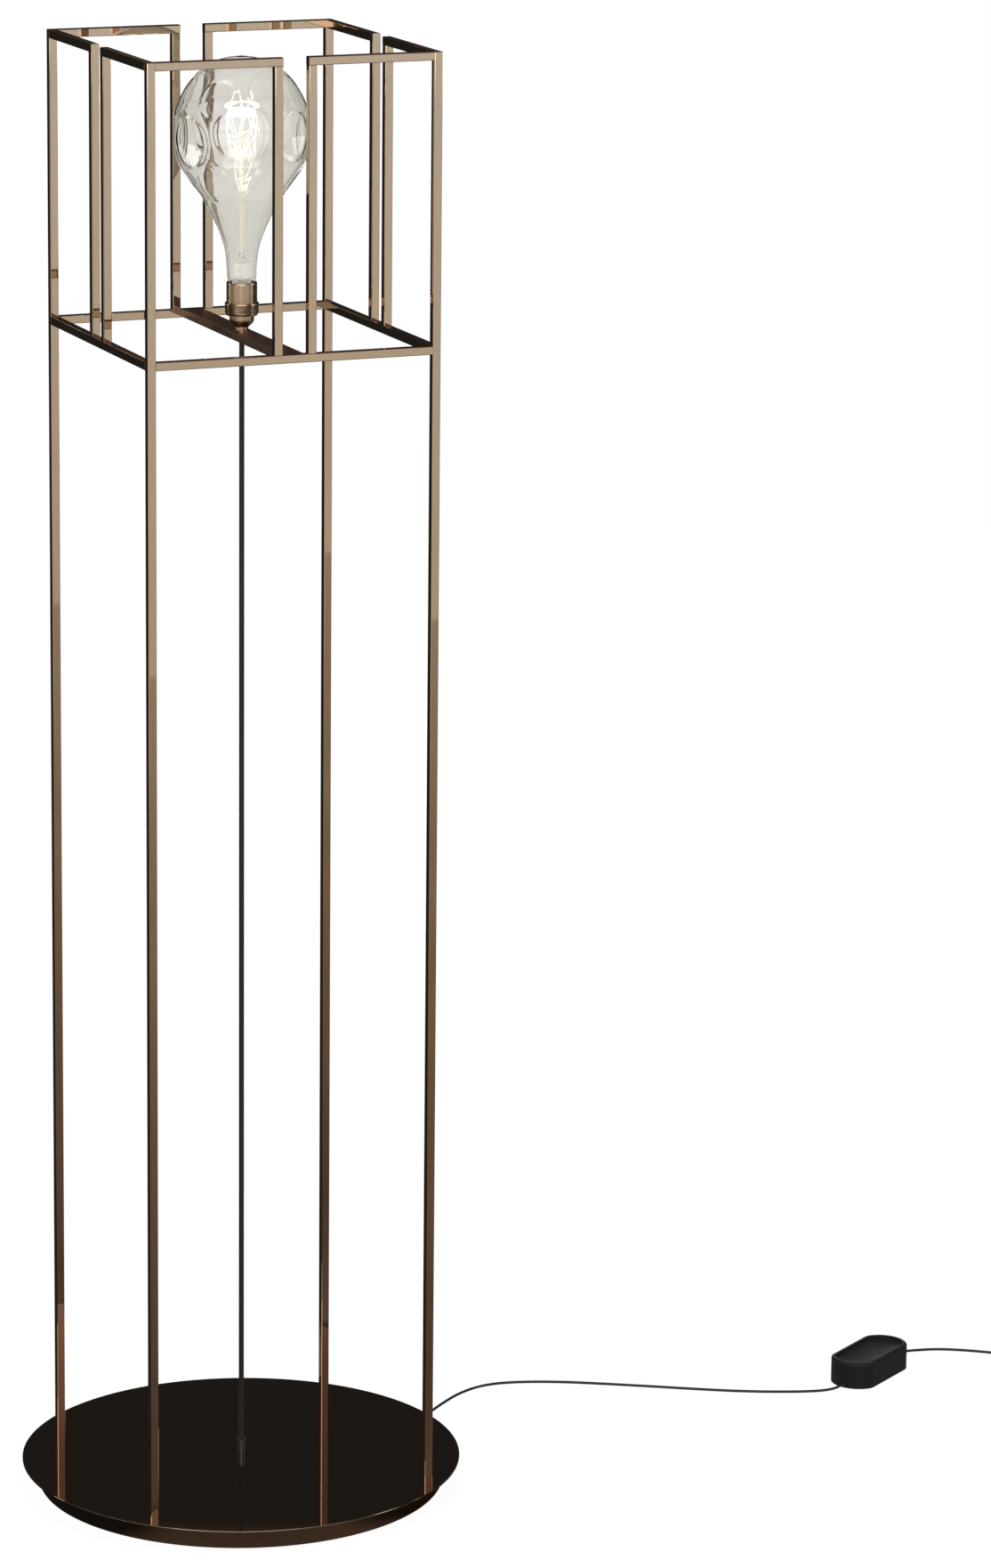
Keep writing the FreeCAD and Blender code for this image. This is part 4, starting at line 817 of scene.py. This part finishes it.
def fluted(angle, radius, level):
    """Twelve flutes, deepest in the middle of the stem: radius times 1 + 0.07 cos 12 a."""
    share = np.clip((level - cap_top) / 8.0, 0, 1) * np.clip((stem_top - 8.0 - level) / 12.0, 0, 1)
    return radius * (1 + 0.07 * share * np.cos(12 * angle)) - 0.3 * (radius > 4)


stem = piece("fluted_stem", "bulb", [turned(stem_outline, 144, caps=(False, False), ripple=fluted)], ("bulb_stem",),
             sharp=60.0)
dress(stem, stem_glass)
print("stem top at", round(float(stem_top)), "mm")


# %% Round tube along a path
def round_tube(path, radius, sides=12, closed=False):
    """A tube along a path: at each point, a circle across the path's direction, set by a side arrow that is level and
    square to it."""
    ahead = (np.roll(path, -1, axis=0) - np.roll(path, 1, axis=0)) if closed else np.gradient(path, axis=0)
    ahead /= np.linalg.norm(ahead, axis=1, keepdims=True)
    hint = np.where(np.abs(ahead[:, 2:]) > 0.95, [[1.0, 0.0, 0.0]], [[0.0, 0.0, 1.0]])
    aside = np.cross(hint, ahead)
    aside /= np.linalg.norm(aside, axis=1, keepdims=True)
    over = np.cross(ahead, aside)
    angle = np.linspace(0, 2 * np.pi, sides, endpoint=False)[None, :, None]
    ring = path[:, None] + radius * (np.cos(angle) * aside[:, None] + np.sin(angle) * over[:, None])
    return skin(ring * MM, loop=closed)


print("a wire of 2 points has", len(round_tube(np.array([[0.0, 0.0, 0.0], [0.0, 0.0, 1.0]]), 1.0)[0]), "points")

# %% Filament
filament_foot, filament_top, _ = levels_of("bulb_filament")


def looped(low, high, foot_radius, top_radius, lobes, laps, steps=420):
    """A wire that swings lobes times up and down on each lap round the axis: z = middle + swing cos(lobes a), with its
    radius going from that at the foot to that at the top."""
    lap = np.linspace(0.0, 2 * np.pi * laps, steps)
    share = 0.5 + 0.5 * np.cos(lobes * lap)
    radius = foot_radius + (top_radius - foot_radius) * share + 1.2 * np.sin(2.3 * lap)
    return np.column_stack([radius * np.cos(lap), radius * np.sin(lap), low + (high - low) * share])


BAND = 1663.0  # height of the glowing band's foot
BAND_HEIGHT = 10.5
BAND_RADII = (16.4, 17.6)
WIRE = 0.35
ROD_ASIDE = 1.6  # of each of the two rods from the axis
strands = [looped(BAND + 8, filament_top + 14.0, 14.0, 9.0, 3.3, 1.0),
           looped(1618.0, BAND + 2, 15.0, 18.0, 2.7, 2.0), looped(1640.0, 1650.0, 20.0, 19.0, 2.4, 1.0),
           looped(1574.0, 1636.0, 3.0, 15.0, 1.35, 2.0)]
rod_path = np.column_stack([np.zeros(24), np.zeros(24), np.linspace(filament_foot, BAND + 4, 24)])
band_profile = ring_outline(*BAND_RADII, BAND, BAND + BAND_HEIGHT, 0.3)
shapes = [round_tube(rod_path + [side, 0.0, 0.0], WIRE, sides=8) for side in (-ROD_ASIDE, ROD_ASIDE)]
shapes += [turned(band_profile, 64, loop=True)] + [round_tube(strand, WIRE, sides=8) for strand in strands]
filament = piece("filament", "bulb", shapes, ("bulb_filament",), sharp=60.0)
filament.visible_diffuse = False
dress(filament, glow)
filament.data.materials.append(hot_glow)
filament.data.materials.append(rod_wire_painted_glow)
centres = np.zeros(3 * len(filament.data.polygons))
filament.data.polygons.foreach_get("center", centres)
x, y, z = centres.reshape(-1, 3).T / MM
away = np.hypot(x, y)
in_band = (z >= BAND) & (z <= BAND + BAND_HEIGHT) & (away > BAND_RADII[0] - 0.05)
on_rod = (z < BAND) & (away < ROD_ASIDE + 0.5)
filament.data.polygons.foreach_set("material_index", np.where(in_band, 1, np.where(on_rod, 2, 0)).astype(np.int32))
print("filament from", round(float(filament_foot)), "to", round(float(filament_top)), "mm with", len(strands),
      "strands,", int(in_band.sum()), "faces of glowing band and", int(on_rod.sum()), "of rod")

# %% [markdown]
# ## The foot dimmer
#
# A squat moulded box with bulged ends has a sunk plate on top, which the foot presses. Its outline is one closed line
# in plan. The housing is that line repeated at a list of insets and heights, as a pattern maker would stack templates,
# so the outer edges and the rim round the plate come out rounded.

# %% Dimmer outline
DIMMER_MIDDLE = np.array([873.4, 49.3, 0.0])
DIMMER_TURN = math.radians(34.0)
DIMMER_LENGTH, DIMMER_WIDTH, DIMMER_END = 127.0, 61.0, 33.6  # the last is the radius of a bulged end
FINE_STEPS = 1440
EVEN_STEPS = 720
AVERAGED = 12  # neighbours on each side
KEPT_EVERY = 5


def oval_ring(inset, level):
    """One ring of the dimmer: the distance from its middle is that of the straight side, (w / 2) / |sin a|, or past
    the corner that of the round end, c |cos a| + sqrt(r^2 - c^2 sin^2 a), where c is how far out its centre lies. Even
    steps along that line are then averaged with their neighbours, which rounds the four corners."""
    half, end = DIMMER_WIDTH / 2 - inset, DIMMER_END - inset
    centre = DIMMER_LENGTH / 2 - DIMMER_END
    corner_x = centre + math.sqrt(max(end ** 2 - half ** 2, 0.0))
    angle = np.linspace(0.0, 2 * np.pi, FINE_STEPS + 1)
    side = half / np.maximum(np.abs(np.sin(angle)), 1e-9)
    bulge = centre * np.abs(np.cos(angle)) + np.sqrt(np.maximum(end ** 2 - (centre * np.sin(angle)) ** 2, 0.0))
    reach = np.where(side * np.abs(np.cos(angle)) > corner_x, bulge, side)
    line = np.column_stack([reach * np.cos(angle), reach * np.sin(angle)])
    along = np.concatenate([[0.0], np.cumsum(np.linalg.norm(np.diff(line, axis=0), axis=1))])
    even = np.linspace(0.0, along[-1], EVEN_STEPS, endpoint=False)
    line = np.column_stack([np.interp(even, along, line[:, k]) for k in (0, 1)])
    rolled = [np.roll(line, shift, axis=0) for shift in range(-AVERAGED, AVERAGED + 1)]
    x, y = np.mean(rolled, axis=0)[::KEPT_EVERY].T
    return DIMMER_MIDDLE + np.column_stack([x * math.cos(DIMMER_TURN) - y * math.sin(DIMMER_TURN),
                                            x * math.sin(DIMMER_TURN) + y * math.cos(DIMMER_TURN),
                                            np.full(len(x), level)])


def stacked(profile, loop=False, caps=(True, True)):
    """The oval at each (inset, height) of a profile, from the first to the last."""
    return skin(np.stack([oval_ring(inset, level) for inset, level in profile]) * MM, loop, caps)


print("dimmer outline has", len(oval_ring(0, 0)), "points")

# %% Housing, foot plate and glands
housing_profile = softened([(0.0, 0.8), (0.0, 34.0), (6.0, 34.0), (6.0, 31.5), (2.5, 31.5), (2.5, 0.8)],
                           [0.6, 2.6, 0.7, 0.2, 0.3, 0.3], steps=6, closed=True)


def gland(end, heading, rise):
    """A small tapered gland round the lead: circles of falling radius along the lead's direction, from inside the wall
    to its tip."""
    ahead = np.array([math.cos(heading) * math.cos(rise), math.sin(heading) * math.cos(rise), math.sin(rise)])
    reach = np.array([-1.2, 3.2, 4.0])
    radius = np.array([3.4, 2.9, 2.3])
    side = np.cross([0.0, 0.0, 1.0], ahead)
    side /= np.linalg.norm(side)
    over = np.cross(ahead, side)
    angle = np.linspace(0, 2 * np.pi, 24, endpoint=False)[None, :, None]
    rings = end + reach[:, None, None] * ahead + radius[:, None, None] * (np.cos(angle) * side + np.sin(angle) * over)
    return skin(rings * MM)


gland_near = gland(np.array([820.76, 13.79, 6.0]), math.radians(200.0), math.radians(-7.0))
gland_far = gland(np.array([926.05, 84.81, 8.0]), math.radians(34.0), math.radians(-4.0))
housing = piece("dimmer_shell", "lamp", [stacked(housing_profile, loop=True), gland_near, gland_far],
                ("dimmer_housing",), sharp=32.0)
dress(housing, plastic)

plate_profile = softened([(3.4, 28.2), (3.4, 31.2), (6.5, 31.2), (6.5, 32.0), (9.0, 31.7), (16.0, 30.9),
                          (26.0, 30.4)], [0.1, 0.2, 0.1, 0.5, 1.5, 3.0, 1.0])
boss_profile = [(0.0, 24.2), (5.0, 24.2), (5.0, 29.0), (0.0, 29.0)]
boss_points, boss_faces = turned(boss_profile, 32, caps=(False, False))
boss_points = boss_points + DIMMER_MIDDLE * MM
foot_plate = piece("foot_plate", "foot_switch", [stacked(plate_profile), (boss_points, boss_faces)],
                   ("dimmer_foot_plate",), sharp=32.0)
dress(foot_plate, plate_plastic)
for name, material in {"dimmer_base": plastic, "dimmer_switch": ceramic}.items():
    dress(name, material)
print("dimmer is dressed")

# %% [markdown]
# ## The spring under the foot plate
#
# A coil spring pushes the foot plate up again. In the imported model it keeps its length, but a real one shortens. So
# it is wound here as a wire along a helix.

# %% Return spring
spring_low, spring_high = box_of("dimmer_spring")
SPRING_TURNS = 4
SPRING_RADIUS = 8.0
SPRING_WIRE = 0.5


def helix(radius, foot, top, turns):
    """Points that go round the dimmer's middle at one radius, r cos a and r sin a, while their height rises evenly
    from foot to top."""
    angle = np.linspace(0.0, 2 * np.pi * turns, 48 * turns + 1)
    return DIMMER_MIDDLE + np.column_stack([radius * np.cos(angle), radius * np.sin(angle),
                                            np.linspace(foot, top, len(angle))])


spring_path = helix(SPRING_RADIUS, spring_low[2] + SPRING_WIRE, spring_high[2] - SPRING_WIRE, SPRING_TURNS)
spring = piece("return_spring", "lamp", [round_tube(spring_path, SPRING_WIRE)], ("dimmer_spring",),
               sharp=60.0)
dress(spring, steel)
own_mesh(spring)

# %% [markdown]
# ## The plug
#
# A flat two-pin plug is moulded on the end of the lead. It is a loft: rounded-rectangle sections of changing width,
# carried from the cord's sleeve to the face with the pins.

# %% Plug body
plug_low, plug_high = box_of("mains_plug")
plug_axis = (plug_low[0] + plug_high[0]) / 2
plug_level = (plug_low[2] + plug_high[2]) / 2
PLUG_STEPS = np.array([(0.0, 2.2, 2.2), (0.8, 2.6, 2.6), (19.0, 4.1, 4.1), (20.5, 6.0, 5.0), (24.0, 9.0, 6.3),
                       (30.0, 13.0, 6.8), (38.0, 17.0, 6.85), (42.0, 17.0, 6.85), (48.0, 14.8, 6.85),
                       (54.5, 13.1, 6.8), (55.6, 12.7, 6.4), (56.0, 12.0, 5.8)])
# each step: distance from the sleeve's tip, half the width, half the height
SLEEVE_LENGTH = 19.0
SQUARED_OVER = 12.0  # after the sleeve, sections grow square over this distance
SQUAREST = 0.42


def plug_loft():
    """Sections like |x / a|^(2 / p) + |z / b|^(2 / p) = 1, so cos and sin of the angle are taken to the power p and
    keep their signs. With p = 1 they are round, at the sleeve, and with a smaller p squarer, towards the face."""
    angle = np.linspace(0, 2 * np.pi, 48, endpoint=False)
    reach, half_width, half_height = (PLUG_STEPS[:, k][:, None] for k in range(3))
    power = np.clip(1.0 - (reach - SLEEVE_LENGTH) / SQUARED_OVER, SQUAREST, 1.0)
    x = half_width * np.sign(np.cos(angle)) * np.abs(np.cos(angle)) ** power
    z = half_height * np.sign(np.sin(angle)) * np.abs(np.sin(angle)) ** power
    y = np.broadcast_to(-reach, x.shape)
    return skin(np.stack([plug_axis + x, plug_high[1] + y, plug_level + z], axis=-1) * MM)


plug = piece("plug_body", "lamp", [plug_loft()], ("mains_plug",), sharp=40.0)
dress(plug, plastic)
dress("plug_pins", brass)
print("plug", round(float(plug_high[1] - plug_low[1])), "mm long")

# %% [markdown]
# ## The lead's facts
#
# The lead is one soft thing of a fixed length, from the bush in the plate through the dimmer to the plug.

# %% The lead's run
print("the lead runs from the plate through the dimmer to the plug")

# %% [markdown]
# ## Floor, background and light
#
# The picture's background is plain white. The floor and the sky are white for the camera, for mirrors and through
# glass, and the lamps stay at a level where a colour looks as it is mixed. Soft lamps from the left, the right and
# above give the plastics their shape.

# %% White floor and sky
def white_for_pictures(tree, plain, white):
    """Mixes two shaders: white for rays from the camera, off mirrors and through glass, and plain for the rest."""
    path = add_node(tree, "LightPath")
    seen = path.outputs["Is Camera Ray"]
    for kind in ("Is Glossy Ray", "Is Transmission Ray"):
        seen = add_node(tree, "Math", seen, path.outputs[kind], operation="MAXIMUM").outputs["Value"]
    return add_node(tree, "MixShader", seen, plain, white).outputs["Shader"]


FLOOR_SIZE = 30.0
# painted light: the floor's own glow is fainter near the lamp, where its shadow shows, and rises to full white further
# off to make up for the lamps' light falling away
FLOOR_GLOW_PAINTED_BY_DISTANCE = {"From_Min": 1.2, "From_Max": 3.5, "To_Min": 0.945, "To_Max": 1.0}  # metres away, and brightness there
SKY_STRENGTH = 0.45
floor_mesh = bpy.data.meshes.new("floor")
floor_mesh.from_pydata([(-FLOOR_SIZE, -FLOOR_SIZE, 0), (FLOOR_SIZE, -FLOOR_SIZE, 0), (FLOOR_SIZE, FLOOR_SIZE, 0),
                        (-FLOOR_SIZE, FLOOR_SIZE, 0)], [], [(0, 1, 2, 3)])
floor = bpy.data.objects.new("floor", floor_mesh)
scene.collection.objects.link(floor)
floor_white, floor_tree = new_material("floor_white")
floor_tree.nodes.remove(floor_tree.nodes["Principled BSDF"])
matt = add_node(floor_tree, "BsdfDiffuse", Color=(0.8, 0.8, 0.8, 1.0)).outputs["BSDF"]
faint = add_node(floor_tree, "BsdfDiffuse", Color=(0.12, 0.12, 0.12, 1.0)).outputs["BSDF"]
spot = add_node(floor_tree, "TexCoord").outputs["Object"]
far = add_node(floor_tree, "VectorMath", spot, operation="LENGTH").outputs["Value"]
fade = add_node(floor_tree, "MapRange", far, **FLOOR_GLOW_PAINTED_BY_DISTANCE).outputs["Result"]
shine = add_node(floor_tree, "Emission", Strength=fade).outputs["Emission"]
both = add_node(floor_tree, "AddShader", faint, shine).outputs["Shader"]
fill_node(floor_tree, floor_tree.nodes["Material Output"], Surface=white_for_pictures(floor_tree, matt, both))
floor_mesh.materials.append(floor_white)

sky = bpy.data.worlds.new("white_room")
scene.world = sky
sky.use_nodes = True
sky_tree = sky.node_tree
plain_sky = fill_node(sky_tree, sky_tree.nodes["Background"], Strength=SKY_STRENGTH).outputs["Background"]
white_sky = add_node(sky_tree, "Background", Color=(1.0, 1.0, 1.0, 1.0)).outputs["Background"]
fill_node(sky_tree, sky_tree.nodes["World Output"], Surface=white_for_pictures(sky_tree, plain_sky, white_sky))
print("floor and sky are white")

# %% [markdown]
# ## What the metal mirrors
#
# Bright metal has hardly any look of its own: it shows the room. In the picture, the posts mirror a floor that falls
# off into darkness near the lamp and a pale wall behind the camera that begins in a hard line. The rest of that room is
# dark. Screens that only mirrors see stand for it here: a studio would hang black and white cards in the same way.
# They are set for this camera. Seen level from the front, the high card makes the upper frame very bright.

# %% Cards seen by mirrors
TOWARDS = np.array([-math.sin(YAW), -math.cos(YAW), 0.0])
ASIDE = np.array([math.cos(YAW), -math.sin(YAW), 0.0])
WALL_AWAY = 3.65
ROOM_SIDE = 6.0
CEILING = 4.0
ABOVE_FLOOR = 0.0003
DARK = 0.028
card_light, card_tree = new_material("card_light")
card_tree.nodes.remove(card_tree.nodes["Principled BSDF"])
stored = add_node(card_tree, "VertexColor")
stored.layer_name = "light"
lit = add_node(card_tree, "Emission", Color=stored.outputs["Color"]).outputs["Emission"]
fill_node(card_tree, card_tree.nodes["Material Output"], Surface=lit)


def room_points(ahead, sideways, height):
    """Points of the room: so far ahead of the lamp, towards the camera, so far to the camera's right, and so high."""
    ahead, sideways, height = (part[..., None] for part in np.broadcast_arrays(ahead, sideways, height))
    return ahead * TOWARDS + sideways * ASIDE + height * np.array([0.0, 0.0, 1.0])


def card(name, points, colours):
    """A screen over a grid of points with a colour at each, seen by mirrors only."""
    rows, columns = points.shape[:2]
    index = np.arange(rows * columns).reshape(rows, columns)
    quads = np.stack([index[:-1, :-1], index[1:, :-1], index[1:, 1:], index[:-1, 1:]], axis=-1).reshape(-1, 4)
    mesh = bpy.data.meshes.new(name)
    mesh.from_pydata(points.reshape(-1, 3).tolist(), [], quads.tolist())
    layer = mesh.color_attributes.new("light", "FLOAT_COLOR", "POINT")
    layer.data.foreach_set("color", np.dstack([colours, np.ones((rows, columns))]).astype(np.float32).ravel())
    screen = bpy.data.objects.new(name, mesh)
    scene.collection.objects.link(screen)
    screen.visible_camera = screen.visible_diffuse = screen.visible_transmission = False
    screen.visible_shadow = screen.visible_volume_scatter = False
    mesh.materials.append(card_light)
    return screen


print("cards are", DARK, "where nothing lights them")


# %% Colours of the mirrored floor
def shaded(at, stops):
    """Colours along a line: each channel is interpolated between (position, red, green, blue) stops."""
    stops = np.array(stops)
    return np.stack([np.interp(at, stops[:, 0], stops[:, k]) for k in (1, 2, 3)], axis=-1)


FLOOR_STOPS = [(-6.0, 0.03, 0.025, 0.02), (-1.5, 0.10, 0.07, 0.05), (-0.3, 0.24, 0.15, 0.11), (0.0, 0.24, 0.15, 0.11),
               (0.19, 0.20, 0.15, 0.125), (0.30, 0.165, 0.125, 0.10), (0.42, 0.157, 0.122, 0.095),
               (0.63, 0.18, 0.14, 0.12), (1.11, 0.24, 0.19, 0.155), (1.69, 0.315, 0.25, 0.19),
               (2.41, 0.44, 0.39, 0.305), (3.31, 0.60, 0.53, 0.45), (3.65, 0.65, 0.57, 0.48)]
WALL_STOPS = [(0.0, 0.915, 0.86, 0.786), (0.5, 1.0, 1.0, 0.95), (1.2, 1.13, 1.19, 1.25), (1.66, 0.76, 0.60, 0.55),
              (1.75, 0.66, 0.52, 0.47), (1.9, 0.44, 0.29, 0.29), (2.2, 0.30, 0.2, 0.2), (4.0, 0.12, 0.1, 0.09)]
# stops of the floor: metres towards the camera, then the light's red, green and blue; of the wall: metres up
LIGHTER_LANES = [(-0.34, 1.0), (-0.14, 1.22), (0.14, 1.04), (0.34, 1.28)]


def ramp(at, start, over):
    """A share that goes from 0 at start to 1 at start + over and stays there. It falls where over is negative."""
    return np.clip((at - start) / over, 0.0, 1.0)[..., None]


def blended(colours, other, share):
    """Colours that give way to another by a share at each point: c (1 - s) + o s."""
    return colours * (1 - share) + other * share


near = np.linspace(-0.8, 0.8, 161)
forth = np.concatenate([np.linspace(-ROOM_SIDE, -0.9, 30), near, np.linspace(0.9, WALL_AWAY, 60)])
across = np.concatenate([[-ROOM_SIDE, -2.0], near, [2.0, ROOM_SIDE]])
ahead, sideways = np.meshgrid(forth, across, indexing="ij")
lit_floor = shaded(ahead, FLOOR_STOPS)
lanes = np.interp(sideways - ahead, *np.array(LIGHTER_LANES).T)
lit_floor = lit_floor * (1 + (lanes - 1) * np.interp(ahead, [0.45, 0.7, 2.0, 3.0], [0.0, 1.0, 1.0, 0.0]))[..., None]
# an even grey to the right and behind, darkness at the left, and shade under the plate's rim
lit_floor = blended(lit_floor, 0.16, ramp(sideways, 0.55, 0.1) * ramp(ahead, 0.4, -0.1))
lit_floor = blended(lit_floor, DARK, ramp(sideways, -0.09, -0.06) * ramp(ahead, 1.2, -0.6))
under_edge = ramp(np.hypot(ahead, sideways), 0.34, -0.03)
lit_floor = lit_floor * (1 - 0.45 * under_edge)
lit_floor = lit_floor * (1 - 0.85 * ramp(sideways, 0.165, 0.05) * under_edge)
card("mirrored_floor", room_points(ahead, sideways, ABOVE_FLOOR), lit_floor)
print("mirrored floor has", ahead.size, "points")


# %% Walls and ceiling that mirrors see
def between(at, low, high):
    """True where a place is over low and under high."""
    return (at > low) & (at < high)


# places are in metres, and each light's strength is that which a mirror shows
level, sideways = np.meshgrid(np.linspace(0.0, CEILING, 80), np.linspace(-ROOM_SIDE, ROOM_SIDE, 13), indexing="ij")
high_window = np.where(between(level, 1.25, 3.6) & (np.abs(sideways) < 2.6), 2.6, 0.0)[..., None]
card("mirrored_wall", room_points(WALL_AWAY, sideways, level), shaded(level, WALL_STOPS) + high_window)
pale_strip = np.where((level < 1.35) & (np.abs(sideways) < 1.2), 1.65, DARK)[..., None] * np.ones(3)
pale_strip[level > 1.35] = (0.025, 0.0234, 0.0228)
pale_strip[level > 2.45] = (0.09, 0.054, 0.04)
card("mirrored_back", room_points(-ROOM_SIDE, sideways, level), pale_strip)

level, ahead = np.meshgrid(np.linspace(0.0, CEILING, 41), np.linspace(-ROOM_SIDE, WALL_AWAY, 97), indexing="ij")
strip = np.where(between(ahead, 0.15, 1.5), np.where(level > 1.2, 4.5, 1.3), DARK)
strip = np.where((ahead >= 1.5) & (level < 1.2), 0.72, strip)
strip = np.where(between(ahead, -1.7, -1.2) & between(level, 0.9, 2.4), 4.0, strip)[..., None] * np.ones(3)
card("mirrored_right", room_points(ahead, ROOM_SIDE, level), strip)
window = np.where(between(ahead, -1.8, -1.0) & between(level, 0.55, 2.3), 5.0, DARK)[..., None]
low_left = np.interp(ahead, [-1.2, -0.9, WALL_AWAY], [DARK, 0.6, 0.8])
pale_left = np.where(level < 1.2, low_left, np.interp(ahead, [0.0, 1.5, WALL_AWAY], [DARK, 0.25, 0.7]))
window = np.maximum(window, pale_left[..., None] * [1.0, 0.95, 0.85])
card("mirrored_left", room_points(ahead, -ROOM_SIDE, level), window)

ahead, sideways = np.meshgrid(np.linspace(-ROOM_SIDE, WALL_AWAY, 97), np.linspace(-ROOM_SIDE, ROOM_SIDE, 121),
                              indexing="ij")
GLOW_PEAK, GLOW_AHEAD, GLOW_LEFT, GLOW_SPREAD = 9.0, 0.55, 1.1, 0.3
spread = ((ahead - GLOW_AHEAD) ** 2 + (sideways + GLOW_LEFT) ** 2) / (2 * GLOW_SPREAD ** 2)
overhead = (DARK + GLOW_PEAK * np.exp(-spread))[..., None] * np.ones(3)
card("mirrored_ceiling", room_points(ahead, sideways, CEILING), overhead)
print("cards stand", WALL_AWAY, "m in front")


# %% Soft lamps
def soft_lamp(name, place, aim, size, power):
    """A square lamp at a place, with its back to a line from its aim, that lights but isn't mirrored."""
    data = bpy.data.lights.new(name, "AREA")
    data.size = size
    data.energy = power
    lamp = bpy.data.objects.new(name, data)
    scene.collection.objects.link(lamp)
    back = np.array(place, float) - np.array(aim, float)
    back /= np.linalg.norm(back)
    side = np.cross([0.0, 0.0, 1.0], back)
    side /= np.linalg.norm(side)
    axes = np.eye(4)
    axes[:3, 0], axes[:3, 1], axes[:3, 2], axes[:3, 3] = side, np.cross(back, side), back, place
    lamp.matrix_world = axes.T.tolist()
    lamp.visible_glossy = lamp.visible_camera = lamp.visible_transmission = False
    return lamp


soft_lamp("lamp_left", (-3.5, -3.0, 3.6), (0.2, 0, 0.6), 2.0, 140.0)
soft_lamp("lamp_right", (3.5, -2.5, 3.2), (0.2, 0, 0.6), 2.0, 80.0)
soft_lamp("lamp_top", (0.5, 1.0, 4.5), (0.4, 0, 0.0), 2.5, 60.0)
scene.view_settings.view_transform = "Standard"
print("three soft lamps")
